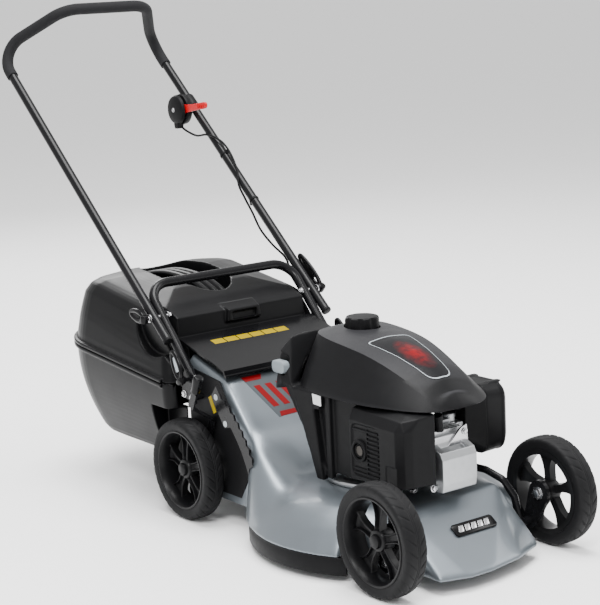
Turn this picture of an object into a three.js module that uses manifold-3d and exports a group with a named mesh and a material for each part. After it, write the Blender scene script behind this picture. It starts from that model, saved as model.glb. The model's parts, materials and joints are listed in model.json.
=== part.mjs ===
// Petrol rotary push mower: alloy deck, vertical-shaft engine, folding handle and moulded rear catcher.
// Millimetres, +Z up, front of the machine towards -Y, the operator's left towards +X, ground at z = 0.
import * as THREE from "three";
import { ConvexGeometry } from "three/addons/geometries/ConvexGeometry.js";
import { mergeVertices } from "three/addons/utils/BufferGeometryUtils.js";
import Module from "manifold-3d";

const wasm = await Module();
wasm.setup();

// ---------- driving dimensions ----------
const GAP = 0.3; // running or resting gap between neighbouring pieces

const WHEEL = { r: 101.5, width: 45, outer: 225, frontY: -600, rearY: 5, z: 101.5, tyreDepth: 22 };
const SPOKES = 5;
const PIVOT = { dy: 24, dz: -56.5, r: 7 }; // height pivot, seen from the wheel axle
const CRANK_Y = -359;
const CENTRE_SHIFT = 10; // moves the finished machine so that y = 0 is half way along it

const DECK = { wall: 4.5, rim: 46, top: 125, radius: 257, noseTop: 122, lip: 22, tailX: 168, tailY: 40 };
const SKIRT = { bottom: 13, wall: 4 };
const BLADE = { disc: 150, tip: 210, z: 46, thick: 3.5, pivotR: 128, count: 4 };

const HANDLE = { r: 9.8, foamR: 12.5, x: 198.5, lowerX: 178.3, pivotY: 105, pivotZ: 393, footY: 4,
  footZ: 281 };
const FLAP = {
  y: -80, z: 306, length: 150, width: 332, rise: 0.28, thick: 4, hingeY: -91, hingeZ: 297, barrelR: 3,
};
const CATCHER = { wall: 3, halfX: 214, frontY: 44, rearY: 494, rim: 262, slope: 0.09, floor: 98 };

const COLOUR = {
  alloy: [0x8d949b, 0.35, 0.7], black: [0x1b1c1e, 0.55, 0], gloss: [0x121314, 0.25, 0],
  cast: [0xb9bcbf, 0.45, 0.8], steel: [0x8f9498, 0.35, 0.9], rubber: [0x232427, 0.85, 0],
  red: [0xc32128, 0.4, 0], foam: [0x1f2022, 0.95, 0], bar: [0x1a1b1d, 0.3, 0.3],
};

// ---------- helpers ----------
const V = (x, y, z) => new THREE.Vector3(x, y, z);
const mirrorX = (points) => points.concat(points.map(([x, y, z]) => [-x, y, z]));

function toManifold(geometry) {
  const bare = new THREE.BufferGeometry();
  bare.setAttribute("position", geometry.getAttribute("position"));
  if (geometry.index) bare.setIndex(geometry.index);
  const merged = mergeVertices(bare, 1e-4);
  const vertProperties = new Float32Array(merged.getAttribute("position").array);
  const solidOf = (triVerts) => new wasm.Manifold(new wasm.Mesh({ numProp: 3, vertProperties, triVerts }));
  const solid = solidOf(new Uint32Array(merged.index.array));
  // A profile listed the other way round gives faces that point inwards: turn each face over.
  return solid.volume() > 0 ? solid : solidOf(new Uint32Array(merged.index.array).reverse());
}

function toGeometry(solid) {
  const { vertProperties, triVerts, numProp } = solid.getMesh();
  const positions = new Float32Array((vertProperties.length / numProp) * 3);
  for (let i = 0; i < positions.length / 3; i++) {
    for (let k = 0; k < 3; k++) positions[3 * i + k] = vertProperties[numProp * i + k];
  }
  const geometry = new THREE.BufferGeometry();
  geometry.setAttribute("position", new THREE.BufferAttribute(positions, 3));
  geometry.setIndex(new THREE.BufferAttribute(new Uint32Array(triVerts), 1));
  const faceted = geometry.toNonIndexed();
  faceted.computeVertexNormals();
  return faceted;
}

const join = (...solids) => solids.slice(1).reduce((all, next) => all.add(next), solids[0]);
const cut = (body, ...tools) => tools.reduce((left, tool) => left.subtract(tool), body);
const clip = (body, region) => body.intersect(region);

const box = (x0, x1, y0, y1, z0, z1) => toManifold(
  new THREE.BoxGeometry(x1 - x0, y1 - y0, z1 - z0).translate((x0 + x1) / 2, (y0 + y1) / 2, (z0 + z1) / 2));
const hull = (points) => toManifold(new ConvexGeometry(points.map(([x, y, z]) => V(x, y, z))));

// A cylinder or cone between two points.
function rod(from, to, r0, r1 = r0, sides = 24) {
  const a = V(...from);
  const b = V(...to);
  const length = a.distanceTo(b);
  const geometry = new THREE.CylinderGeometry(r1, r0, length, sides);
  const turn = new THREE.Quaternion().setFromUnitVectors(V(0, 1, 0), b.clone().sub(a).normalize());
  geometry.applyQuaternion(turn);
  const middle = a.add(b).multiplyScalar(0.5);
  return toManifold(geometry.translate(middle.x, middle.y, middle.z));
}

// A closed profile of [radius, height] turned about a vertical axis.
function turned(profile, x, y, sides = 32) {
  const points = profile.map(([r, z]) => new THREE.Vector2(r, z));
  return toManifold(new THREE.LatheGeometry(points, sides).rotateX(Math.PI / 2).translate(x, y, 0));
}

// A closed profile of [radius, x] turned about an axis along X.
function turnedX(profile, sides = 30) {
  const points = profile.map(([r, x]) => new THREE.Vector2(r, x));
  return toManifold(new THREE.LatheGeometry(points, sides).rotateZ(-Math.PI / 2));
}

const ellipse = (cx, cy, rx, ry = rx, sides = 16) => Array.from({ length: sides }, (_, i) => {
  const angle = (2 * Math.PI * i) / sides;
  return new THREE.Vector2(cx + rx * Math.cos(angle), cy + ry * Math.sin(angle));
});

// A flat plate: outline given in (y, z), standing between x0 and x1.
function plateX(outline, x0, x1, holes = []) {
  const shape = new THREE.Shape(outline.map(([y, z]) => new THREE.Vector2(y, z)));
  for (const [y, z, r] of holes) shape.holes.push(new THREE.Path(ellipse(y, z, r)));
  const geometry = new THREE.ExtrudeGeometry(shape, { depth: x1 - x0, bevelEnabled: false });
  return toManifold(geometry.applyMatrix4(new THREE.Matrix4().set(0, 0, 1, x0, 1, 0, 0, 0, 0, 1, 0, 0, 0,
    0, 0, 1)));
}

// A path of straight runs joined by round bends; stations lie only where the path turns.
class BentPath extends THREE.Curve {
  constructor(corners, bend, perBend = 4) {
    super();
    const points = corners.map((c) => V(...c));
    this.stations = [{ at: points[0], along: points[1].clone().sub(points[0]).normalize() }];
    for (let i = 1; i < points.length - 1; i++) {
      const into = points[i].clone().sub(points[i - 1]).normalize();
      const out = points[i + 1].clone().sub(points[i]).normalize();
      const radius = Array.isArray(bend) ? bend[i - 1] : bend;
      const turn = into.angleTo(out);
      const back = radius * Math.tan(turn / 2);
      const start = points[i].clone().addScaledVector(into, -back);
      const normal = out.clone().addScaledVector(into, -out.dot(into)).normalize();
      for (let k = 0; k <= perBend; k++) {
        const angle = (turn * k) / perBend;
        const at = start.clone().addScaledVector(into, radius * Math.sin(angle))
          .addScaledVector(normal, radius * (1 - Math.cos(angle)));
        const along = into.clone().multiplyScalar(Math.cos(angle)).addScaledVector(normal, Math.sin(angle));
        this.stations.push({ at, along });
      }
    }
    const last = points.length - 1;
    this.stations.push({ at: points[last], along: points[last].clone().sub(points[last - 1]).normalize() });
  }

  get steps() { return this.stations.length - 1; }
  pick(u) { return this.stations[Math.round(u * this.steps)]; }
  getPoint(u) { return this.pick(u).at.clone(); }
  getPointAt(u) { return this.pick(u).at.clone(); }
  getTangent(u) { return this.pick(u).along.clone(); }
  getTangentAt(u) { return this.pick(u).along.clone(); }
}

function tubeAlong(path, radius, sides = 12, hole = 0) {
  const shape = new THREE.Shape(ellipse(0, 0, radius, radius, sides));
  if (hole) shape.holes.push(new THREE.Path(ellipse(0, 0, hole, hole, sides)));
  return toManifold(new THREE.ExtrudeGeometry(shape, { steps: path.steps, bevelEnabled: false,
    extrudePath: path }));
}
const tube = (corners, radius, bend, sides = 12, perBend = 4) =>
  tubeAlong(new BentPath(corners, bend, perBend), radius, sides);

const mower = new THREE.Group();
function add(name, colour, solid, place) {
  const [color, roughness, metalness] = COLOUR[colour];
  const material = new THREE.MeshStandardMaterial({ color, roughness, metalness });
  const mesh = new THREE.Mesh(toGeometry(solid), material);
  mesh.name = name;
  if (place) mesh.position.set(...place);
  mower.add(mesh);
}

// ---------- deck ----------
const PIVOTS = [WHEEL.frontY, WHEEL.rearY].map((y) => [y + PIVOT.dy, WHEEL.z + PIVOT.dz]);

// The deck as a filled shape; inset shrinks it to the space inside the wall.
function deckForm(inset) {
  const floor = inset ? -20 : DECK.rim;
  const out = inset ? 30 : 0;
  const dome = [[0, floor], [DECK.radius - inset, floor], [DECK.radius - inset, DECK.rim + 3],
    [250 - inset, 62], [234 - inset, 88 - inset * 0.4], [213 - inset, 106 - inset * 0.8],
    [190 - inset, 118 - inset], [160 - inset, 123.5 - inset], [130, DECK.top - inset],
      [0, DECK.top - inset]];
  const lipPlan = [[125, -646], [50, -676], [-20, -688], [-80, -688], [-138, -668], [-150, -652]];
  const shrink = ([x, y]) => [x - Math.sign(x) * inset, y + inset];
  const lipFloor = inset ? -20 : DECK.lip;
  const nose = [[125 - inset, -480, DECK.noseTop - inset], [-125 + inset, -480, DECK.noseTop - inset],
    [118 - inset, -548, DECK.noseTop - inset], [-118 + inset, -548, DECK.noseTop - inset],
    [125 - inset, -480, lipFloor], [-125 + inset, -480, lipFloor]];
  for (const p of lipPlan) {
    const [x, y] = shrink(p);
    nose.push([x, y, DECK.lip + 7], [x, y, lipFloor]);
  }
  const side = DECK.tailX - inset;
  const roof = [[-85, 290], [DECK.tailY + out, 324]];
  const tail = roof.flatMap(([y, z]) => mirrorX([[side - 8, y, z - inset], [side, y, z - 14 - inset],
    [side, y, floor]]));
  const midRamp = mirrorX([[side - 8, -85, 290 - inset], [side, -85, 276 - inset], [side, -85, floor],
    [side - 6, -165, 197 - inset], [side, -165, 185 - inset], [side, -165, floor]]);
  const lowRamp = mirrorX([[side - 6, -165 + inset, 197 - inset], [side, -165, 185 - inset],
    [side, -165, floor],
    [95, -232 + inset, 122 - inset], [side - 4, -268 + inset, 120 - inset], [side, -290, floor]]);
  const shoulder = mirrorX([[194 - inset, -300, 118 - inset], [187 - inset, -228, 150 - inset],
    [166 - inset, -165 + inset, 192 - inset], [243 - inset, -300, 60], [228 - inset, -240, 66],
    [199 - inset, -190, 70], [170 - inset, -165 + inset, 80], [246 - inset, -300, floor],
      [231 - inset, -240, floor],
    [202 - inset, -190 + inset, floor], [170 - inset, -165 + inset, floor]]);
  const shoulders = [-1, 1].map((s) => hull(shoulder.filter(([x]) => x * s > 0)
    .concat([[s * 130, -300, 118 - inset], [s * 130, -200, 118 - inset], [s * 130, -200, floor],
      [s * 130, -300, floor]])));
  const sides = [-1, 1].flatMap((s) => {
    const slab = (x, y0, y1) => box(Math.min(s * x, s * 400), Math.max(s * x, s * 400), y0, y1, -40, 260);
    return [slab(133.5 - inset, -800, -547.5 + inset), slab(176.5 - inset, -800, -494 + inset),
      slab(172.5 - inset, -149.5 - inset, 200)];
  });
  return cut(join(turned(dome, 0, CRANK_Y, 48), hull(nose), hull(tail), hull(midRamp), hull(lowRamp),
    ...shoulders), ...sides);
}

const [frontPivot, rearPivot] = PIVOTS;
const tailBoss = (s) => rod([s * 150, ...rearPivot], [s * DECK.tailX, ...rearPivot], 15);
const deckOuter = join(deckForm(0), tailBoss(1), tailBoss(-1));
const axleHole = rod([-200, ...rearPivot], [200, ...rearPivot], PIVOT.r + 1 + GAP, undefined, 16);
const crankHole = rod([0, CRANK_Y, 60], [0, CRANK_Y, 200], 22);
add("deck_shell", "alloy", cut(deckOuter, cut(deckForm(DECK.wall), tailBoss(1), tailBoss(-1)), axleHole,
  crankHole));

const skirtRing = turned([[DECK.radius - SKIRT.wall, SKIRT.bottom], [DECK.radius, SKIRT.bottom],
  [DECK.radius, DECK.rim - GAP], [DECK.radius - SKIRT.wall, DECK.rim - GAP],
  [DECK.radius - SKIRT.wall, SKIRT.bottom]], 0, CRANK_Y, 56);
for (const [name, s] of [["deck_skirt_left", 1], ["deck_skirt_right", -1]]) {
  const arc = box(Math.min(s * 60, s * 300), Math.max(s * 60, s * 300), -507, -176, 0, 60);
  add(name, "black", clip(skirtRing, arc));
}

const badgeTilt = 35 * Math.PI / 180;
const badge = toManifold(new THREE.BoxGeometry(96, 26, 3).rotateX(badgeTilt));
add("deck_badge", "gloss", badge.translate([0, -612, 82.5]));

// ---------- wheels, arms and axles ----------
const half = WHEEL.width / 2;
const rimRing = turnedX([[66, half - 2], [79, half - 2], [79, -half + 2], [66, -half + 2], [66, half - 2]]);
const rimWeb = turnedX([[8.4, 10], [20, 10], [24, -2], [24, -half + 4], [8.4, -half + 4], [8.4, 10]], 15);
function wheelRim() {
  let rim = join(rimRing, rimWeb);
  for (let i = 0; i < SPOKES; i++) {
    const angle = 90 + (360 * i) / SPOKES;
    const spoke = box(-10, 3, -9.5, 9.5, 18, 70).rotate([angle, 0, 0]);
    rim = join(rim, spoke);
  }
  return rim;
}
const inner = WHEEL.r - WHEEL.tyreDepth;
const tyre = turnedX([[inner, -half + 3], [inner, half - 3], [WHEEL.r - 10, half], [WHEEL.r, half - 9],
  [WHEEL.r, -half + 9], [WHEEL.r - 10, -half], [inner, -half + 3]], 32);
const rim = wheelRim();
for (const [end, y] of [["front", WHEEL.frontY], ["rear", WHEEL.rearY]]) {
  for (const [side, s] of [["left", 1], ["right", -1]]) {
    const place = [s * (WHEEL.outer - half), y, WHEEL.z];
    const turnedRim = s > 0 ? rim.mirror([1, 0, 0]) : rim;
    add(`wheel_${end}_${side}_rim`, "black", turnedRim, place);
    add(`wheel_${end}_${side}_tyre`, "rubber", tyre, place);
  }
}

// An arm carries a stub axle at its wide end and turns about the pivot at its narrow end.
const ARM = { x0: 169.5, x1: 177.5, wide: 24, narrow: 15, axleEnd: 219, axleR: 8 };
function arm(s, [pivotY, pivotZ], axleY) {
  const disc = (y, z, r) => rod([s * ARM.x0, y, z], [s * ARM.x1, y, z], r, r, 24);
  const web = hullOf(disc(axleY, WHEEL.z, ARM.wide), disc(pivotY, pivotZ, ARM.narrow));
  return join(web, rod([s * (ARM.x1 - 2), axleY, WHEEL.z], [s * ARM.axleEnd, axleY, WHEEL.z], ARM.axleR,
    undefined, 20));
}
function hullOf(...solids) {
  const points = solids.flatMap((solid) => {
    const { vertProperties: v } = solid.getMesh();
    return Array.from({ length: v.length / 3 }, (_, i) => [v[3 * i], v[3 * i + 1], v[3 * i + 2]]);
  });
  return hull(points);
}
const [fy, fz] = frontPivot;
for (const [side, s] of [["left", 1], ["right", -1]]) {
  const pin = rod([s * 140, fy, fz], [s * 190, fy, fz], PIVOT.r + GAP, undefined, 20);
  add(`front_arm_${side}`, "black", cut(arm(s, frontPivot, WHEEL.frontY), pin));
}
const OVER = { z: 137.5, y: -481 };
const halfBar = [[177, fy, fz], [143, fy, fz], [143, fy + 24, 98], [128, -518, OVER.z],
  [122, OVER.y, OVER.z]];
const barPath = halfBar.concat(halfBar.map(([x, y, z]) => [-x, y, z]).reverse());
add("front_axle_bar", "bar", tube(barPath, PIVOT.r, [9, 18, 22, 12, 12, 22, 18, 9], 10, 2));

const LEVER = { x: 172, outX: 234, thick: 4, angle: 117, bendIn: 182, bendOut: 226, tip: 300 };
function leverBar() {
  const [ry, rz] = rearPivot;
  const at = (r, x, w) => {
    const a = (LEVER.angle * Math.PI) / 180;
    const [cy, cz] = [ry + r * Math.cos(a), rz + r * Math.sin(a)];
    return [-1, 1].flatMap((e) => [0, LEVER.thick].map((t) =>
      [-x - t, cy - e * w * Math.sin(a), cz + e * w * Math.cos(a)]));
  };
  const low = hull([...at(0, LEVER.x, 12), ...at(LEVER.bendIn, LEVER.x, 9)]);
  const bend = hull([...at(LEVER.bendIn, LEVER.x, 9), ...at(LEVER.bendOut, LEVER.outX, 9)]);
  const top = hull([...at(LEVER.bendOut, LEVER.outX, 9), ...at(LEVER.tip - 40, LEVER.outX, 8)]);
  return join(low, bend, top);
}
const rearShaft = rod([-ARM.x1, ...rearPivot], [ARM.x1, ...rearPivot], PIVOT.r + 1, undefined, 20);
add("rear_axle", "black", join(rearShaft, arm(1, rearPivot, WHEEL.rearY), arm(-1, rearPivot, WHEEL.rearY),
  leverBar()));
const leverTop = (() => {
  const a = (LEVER.angle * Math.PI) / 180;
  const at = (r) => [-LEVER.outX - LEVER.thick / 2, rearPivot[0] + r * Math.cos(a),
    rearPivot[1] + r * Math.sin(a)];
  return [at(LEVER.tip - 39.5), at(LEVER.tip)];
})();
add("height_lever_grip", "black", rod(leverTop[0], leverTop[1], 9, 11, 16));

// Toothed quadrant beside the deck, concentric with the rear pivot, on two stand-off legs.
const QUAD = { x: -188, thick: 4, r0: 236, r1: 258, from: 119, to: 168, teeth: 12, tooth: 5 };
function quadrant() {
  const [ry, rz] = rearPivot;
  const polar = (r, deg) => [ry + r * Math.cos((deg * Math.PI) / 180),
    rz + r * Math.sin((deg * Math.PI) / 180)];
  const step = (QUAD.to - QUAD.from) / QUAD.teeth;
  const outer = Array.from({ length: 2 * QUAD.teeth + 1 }, (_, i) =>
    polar(QUAD.r1 + (i % 2 ? QUAD.tooth : 0), QUAD.from + (i * step) / 2));
  const innerEdge = Array.from({ length: 9 }, (_, i) => polar(QUAD.r0,
    QUAD.to - (i * (QUAD.to - QUAD.from)) / 8));
  const plate = plateX([...outer, ...innerEdge], QUAD.x - QUAD.thick, QUAD.x);
  const head = plateX([[-96, 284], [-78, 262], [-118, 205], [-146, 212]], QUAD.x - QUAD.thick, QUAD.x);
  const legs = [[-102, 240, DECK.tailX + GAP], [-182, 168, 177.5]].map(([y, z, x]) =>
    rod([QUAD.x - 1, y, z], [-x, y, z], 6, 6, 12));
  return cut(join(plate, head, ...legs), deckForm(-GAP));
}
add("height_quadrant", "black", quadrant());

// ---------- cutting disc ----------
const ROTOR = { r: 12.5, low: 38, high: 318 };
const blades = Array.from({ length: BLADE.count }, (_, i) => (360 * i) / BLADE.count + 45);
const spot = (r, deg, z) => [r * Math.cos((deg * Math.PI) / 180),
  CRANK_Y + r * Math.sin((deg * Math.PI) / 180), z];
add("crankshaft", "steel", join(rod([0, CRANK_Y, 44.6], [0, CRANK_Y, ROTOR.high], ROTOR.r, undefined, 24),
  rod([0, CRANK_Y, 195], [0, CRANK_Y, 215], 30, undefined, 24)));
const discPlate = turned([[ROTOR.r + GAP, 51], [BLADE.disc - 8, 51], [BLADE.disc, 54], [BLADE.disc, 57],
  [BLADE.disc - 9, 54.5], [32, 54.5], [24, 72], [ROTOR.r + GAP, 72], [ROTOR.r + GAP, 51]], 0, CRANK_Y, 28);
const bladePins = blades.map((deg) => join(
  rod(spot(BLADE.pivotR, deg, 43.5), spot(BLADE.pivotR, deg, 53), 6, undefined, 10),
  rod(spot(BLADE.pivotR, deg, 41), spot(BLADE.pivotR, deg, 45.5), 10, undefined, 8)));
add("blade_disc", "black", join(discPlate, ...bladePins));
add("disc_bolt", "steel", join(rod([0, CRANK_Y, 34], [0, CRANK_Y, 44.3], 10, undefined, 6),
  rod([0, CRANK_Y, 42], [0, CRANK_Y, 44.3], 19, undefined, 24)));
blades.forEach((deg, i) => {
  const bar = box(-14, BLADE.tip - BLADE.pivotR, -14, 14, 46, 46 + BLADE.thick);
  const hole = rod([0, 0, 40], [0, 0, 60], 6.5, undefined, 20);
  const [x, y] = spot(BLADE.pivotR, deg, 0);
  add(`blade_${i + 1}`, "steel", cut(bar, hole).rotate([0, 0, deg]).translate([x, y, 0]));
});

// ---------- engine ----------
const FLANGE = DECK.top + GAP;
const caseBore = rod([0, CRANK_Y, 100], [0, CRANK_Y, 400], ROTOR.r + GAP, undefined, 24);
const crankRoom = rod([0, CRANK_Y, 190], [0, CRANK_Y, 220], 34, undefined, 24);
const caseBody = turned([[0, FLANGE], [110, FLANGE], [110, FLANGE + 9], [92, FLANGE + 13], [86, 160],
  [84, 240],
  [60, 262], [40, 270], [0, 270]], 0, CRANK_Y, 30);
const barrelY = [-505, -545];
const caseFront = box(-46, 46, -505, -380, 148, 250);
const caseVent = rod([40, CRANK_Y, 205], [200, CRANK_Y, 205], 8, undefined, 12);
add("crankcase", "cast", cut(join(caseBody, caseFront), caseBore, crankRoom, caseVent, deckForm(-GAP)));

const fins = Array.from({ length: 4 }, (_, i) => box(-48, 48, -513 - i * 9, -509 - i * 9, 158, 244));
add("cylinder", "cast", join(box(-38, 38, barrelY[1] - 5, barrelY[0] - GAP, 166, 236), ...fins));
const coverHull = hull([[-39, -551, 140], [39, -551, 140], [-39, -551, 246], [39, -551, 246],
  [-36, -580, 144], [36, -580, 144], [-38, -578, 232], [38, -578, 232], [-38, -568, 246], [38, -568, 246]]);
const coverPocket = box(-22, 20, -566, -552, 236, 260);
add("head_cover", "cast", cut(coverHull, coverPocket));
const plugAt = [-14, -542];
add("spark_plug", "black", join(rod([plugAt[0], plugAt[1], 244.3], [plugAt[0], plugAt[1], 252], 8,
  undefined, 6),
  rod([plugAt[0], plugAt[1], 250], [plugAt[0] - 6, plugAt[1] - 4, 276], 7.5, 9, 14)));

const COVER = { x0: -128, x1: -52, y0: -578, y1: -433, z0: 154, z1: 296 };
const coverShell = (t) => hull([[COVER.x0 + 8 + t, COVER.y0 + t, COVER.z0 + 10 + t],
  [COVER.x0 + 8 + t, COVER.y0 + t, COVER.z1 - 16 - t],
  [COVER.x1 + (t ? 20 : 0), COVER.y0 + t, COVER.z0 + 6 + t], [COVER.x1 + (t ? 20 : 0), COVER.y0 + t,
    COVER.z1 - 8 - t],
  [COVER.x0 + t, COVER.y0 + 14 + t, COVER.z0 + 14 + t],
    [COVER.x0 + t, COVER.y0 + 14 + t, COVER.z1 - 20 - t],
  [COVER.x0 + t, COVER.y1 - t, COVER.z0 + t], [COVER.x0 + t, COVER.y1 - t, COVER.z1 - 20 - t],
  [COVER.x1 + (t ? 20 : 0), COVER.y1 - t, COVER.z0 + t], [COVER.x1 + (t ? 20 : 0), COVER.y1 - t,
    COVER.z1 - t],
  [COVER.x0 + 18 + t, COVER.y1 - t, COVER.z1 - t], [COVER.x0 + 18 + t, COVER.y0 + 14 + t, COVER.z1 - t]]);
const slots = Array.from({ length: 8 }, (_, i) => {
  const z = COVER.z0 + 24 + i * 11;
  return box(COVER.x0 - 5, COVER.x0 + 10, -540, -482, z, z + 4.5);
});
const OUTLET = { y: -452, z: 226, r: 14 };
const outletRing = rod([COVER.x0 - 2, OUTLET.y, OUTLET.z], [COVER.x0 + 6, OUTLET.y, OUTLET.z],
  OUTLET.r + 8, undefined, 28);
const outletHole = rod([COVER.x0 - 10, OUTLET.y, OUTLET.z], [COVER.x0 + 20, OUTLET.y, OUTLET.z],
  OUTLET.r, undefined, 28);
add("muffler_cover", "black", cut(join(cut(coverShell(0), coverShell(3)), clip(outletRing, coverShell(-3))),
  outletHole, ...slots));
add("muffler", "steel", join(box(COVER.x0 + 14, COVER.x1 - 6, COVER.y0 + 24, COVER.y1 - 14,
  COVER.z0 + 22, COVER.z1 - 34),
  rod([COVER.x0 + 8, OUTLET.y, OUTLET.z], [COVER.x0 + 16, OUTLET.y, OUTLET.z], OUTLET.r - 3, undefined,
    24)));

// Cowl: a shell over the flywheel, with a flat crowned top between two long creases.
const CAP = { x: 12, y: -300, r: 33, neck: 22, z: 386, top: 418 };
const cowlForm = (t, drop = 0) => hull([
  ...mirrorX([[58 - t, -254 - t, 396 - t], [82 - t, -300, 391 - t], [78 - t, -380, 383 - t],
    [73 - t, -432, 375 - t],
    [64 - t, -533, 352 - t], [52 - t, -566 + t, 336 - t], [104 - t, -240 - t, 305 - drop],
    [126 - t, -300, 305 - drop], [129 - t, -370, 305 - drop], [125 - t, -430, 304 - drop],
    [108 - t, -515, 302 - drop], [56 - t, -586 + t, 300 - drop]]),
  [0, -262 - t, 400 - t], [0, -330, 397 - t], [0, -432, 383 - t], [0, -540, 358 - t],
    [0, -572 + t, 340 - t],
  [0, -592 + t, 300 - drop]]);
const neckHole = rod([CAP.x, CAP.y, 340], [CAP.x, CAP.y, 420], CAP.r + 2, undefined, 28);
add("engine_cowl", "black", cut(cowlForm(0), cowlForm(3, 20), neckHole));
const flywheel = turned([[ROTOR.r + GAP, 302], [78, 302], [78, 314], [60, 317], [ROTOR.r + GAP, 317],
  [ROTOR.r + GAP, 302]], 0, CRANK_Y, 28);
add("flywheel", "cast", flywheel);
const flyNut = rod([0, CRANK_Y, 318.3], [0, CRANK_Y, 328], 14, undefined, 6);
add("starter_pulley", "black", join(flyNut, turned([[0, 328], [40, 328], [40, 330], [36, 332], [36, 336],
  [40, 338], [40, 340], [0, 340]], 0, CRANK_Y, 28)));
const tank = hull([...mirrorX([[66, -344, 345], [66, -344, 372], [70, -264, 345], [52, -264, 378]])]);
add("fuel_tank", "black", join(tank, rod([CAP.x, CAP.y, 370], [CAP.x, CAP.y, CAP.z + 8], CAP.neck,
  undefined, 28)));
const lobes = Array.from({ length: 8 }, (_, i) => {
  const a = (Math.PI * i) / 4;
  const [x, y] = [CAP.x + (CAP.r + 2) * Math.cos(a), CAP.y + (CAP.r + 2) * Math.sin(a)];
  return rod([x, y, CAP.z + 11], [x, y, CAP.top + 5], 4.5, undefined, 8);
});
const capBody = turned([[CAP.neck + 1, CAP.z + 0.5], [CAP.r - 4, CAP.z + 0.5], [CAP.r, CAP.z + 10],
  [CAP.r, CAP.top - 4],
  [CAP.r - 4, CAP.top], [0, CAP.top], [0, CAP.z + 8.3], [CAP.neck + 1, CAP.z + 8.3],
    [CAP.neck + 1, CAP.z + 0.5]],
CAP.x, CAP.y, 24);
add("fuel_cap", "black", cut(capBody, ...lobes));

// Recoil starter housing on the rear near corner, with its long leg down to the deck.
const housing = hull([[-132, -262, 300], [-136, -236, 306], [-124, -200, 286], [-60, -196, 282],
  [-30, -236, 300],
  [-128, -228, 366], [-112, -204, 346], [-60, -200, 356], [-104, -232, 388], [-40, -236, 392],
    [-70, -226, 391]]);
const leg = hull([[-132, -262, 304], [-108, -240, 304], [-132, -238, 304], [-104, -262, 304],
  [-118, -350, 142], [-98, -350, 142], [-118, -332, 142], [-98, -332, 142]]);
const cowlClear = cowlForm(-GAP);
const gripPocket = hull([[-160, -243, 320], [-118, -243, 320], [-160, -243, 350], [-118, -243, 350],
  [-160, -180, 318], [-118, -180, 318], [-160, -180, 400], [-118, -180, 400]]);
add("recoil_housing", "black", cut(join(housing, leg), cowlClear, gripPocket));

// Starter grip: sits in a pocket on the housing's near face and is pulled along PULL.
const PULL = new THREE.Vector3(0, 0.8, 0.6);
const GRIP_AT = { x0: -141, x1: -119, y: -222, z: 334 };
const gripForm = (r) => hullOf(rod([GRIP_AT.x0, GRIP_AT.y - 6, GRIP_AT.z],
  [GRIP_AT.x1, GRIP_AT.y - 6, GRIP_AT.z], r, r, 14),
  rod([GRIP_AT.x0, GRIP_AT.y + 8, GRIP_AT.z + 2], [GRIP_AT.x1, GRIP_AT.y + 8, GRIP_AT.z + 2], r, r, 14));
add("starter_grip", "black", gripForm(12));

// Carburettor, air cleaner case and its cover on the far side.
const AIR = { x0: 86, x1: 128, x2: 194, y0: -514, y1: -402, z0: 162 };
add("carburettor", "cast", join(box(48.5, 85.5, -496, -452, 196, 236), rod([67, -474, 234],
  [67, -474, 252], 14),
  rod([67, -474, 180], [67, -474, 198], 17)));
add("air_cleaner_case", "black", hull([[AIR.x0, -500, 190], [AIR.x0, -500, 286], [AIR.x0, -412, 190],
  [AIR.x0, -412, 286], [AIR.x1, AIR.y0, AIR.z0], [AIR.x1, AIR.y0, 296], [AIR.x1, AIR.y1, AIR.z0],
    [AIR.x1, AIR.y1, 296]]));
const airCover = (t) => hull([[AIR.x1 + GAP - (t ? 8 : 0), AIR.y0 - 2 + t, AIR.z0 - 3 + t],
  [AIR.x1 + GAP - (t ? 8 : 0), AIR.y0 - 2 + t, 297 - t], [AIR.x1 + GAP - (t ? 8 : 0), AIR.y1 + 2 - t,
    AIR.z0 - 3 + t],
  [AIR.x1 + GAP - (t ? 8 : 0), AIR.y1 + 2 - t, 297 - t], [AIR.x2 - 16 - t, AIR.y0 - 2 + t, 158 + t],
  [AIR.x2 - 16 - t, AIR.y0 - 2 + t, 294 - t], [AIR.x2 - 16 - t, AIR.y1 + 2 - t, 158 + t],
  [AIR.x2 - 16 - t, AIR.y1 + 2 - t, 294 - t], [AIR.x2 - t, AIR.y0 + 16, 172],
    [AIR.x2 - t, AIR.y0 + 16, 276],
  [AIR.x2 - t, AIR.y1 - 16, 172], [AIR.x2 - t, AIR.y1 - 16, 276]]);
add("air_cleaner_cover", "black", cut(airCover(0), airCover(2.5)));
add("air_filter", "foam", box(AIR.x1 + 1, AIR.x1 + 30, AIR.y0 + 16, AIR.y1 - 16, 190, 282));

// ---------- handle ----------
// Positions on the upper leg: t runs up the leg from the fold pivot, h is the height above its centre line.
const LEG = { y: 0.7513, z: 0.66 };
const onLeg = (x, t, h = 0) =>
  [x, HANDLE.pivotY + LEG.y * t - LEG.z * h, HANDLE.pivotZ + LEG.z * t + LEG.y * h];
const bolt = (s, x0, x1, y, z, r) => rod([s * x0, y, z], [s * x1, y, z], r, undefined, 16);
const BOLT = { r: 4, hole: 4.3 };

const lowerTop = [160, 449];
const lowerRun = [lowerTop[0] - HANDLE.footY, lowerTop[1] - HANDLE.footZ];
const beyond = 18 / Math.hypot(...lowerRun);
const lowerFoot = [HANDLE.footY - lowerRun[0] * beyond, HANDLE.footZ - lowerRun[1] * beyond];
const lowerPath = [[-HANDLE.lowerX, ...lowerFoot], [-HANDLE.lowerX, ...lowerTop],
  [HANDLE.lowerX, ...lowerTop],
  [HANDLE.lowerX, ...lowerFoot]];
const boltHoles = [-1, 1].flatMap((s) => [bolt(s, 150, 215, HANDLE.pivotY, HANDLE.pivotZ, BOLT.hole),
  bolt(s, 150, 215, HANDLE.footY, HANDLE.footZ, BOLT.hole)]);
add("lower_handle", "bar", cut(tube(lowerPath, HANDLE.r, 46), ...boltHoles));

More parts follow.
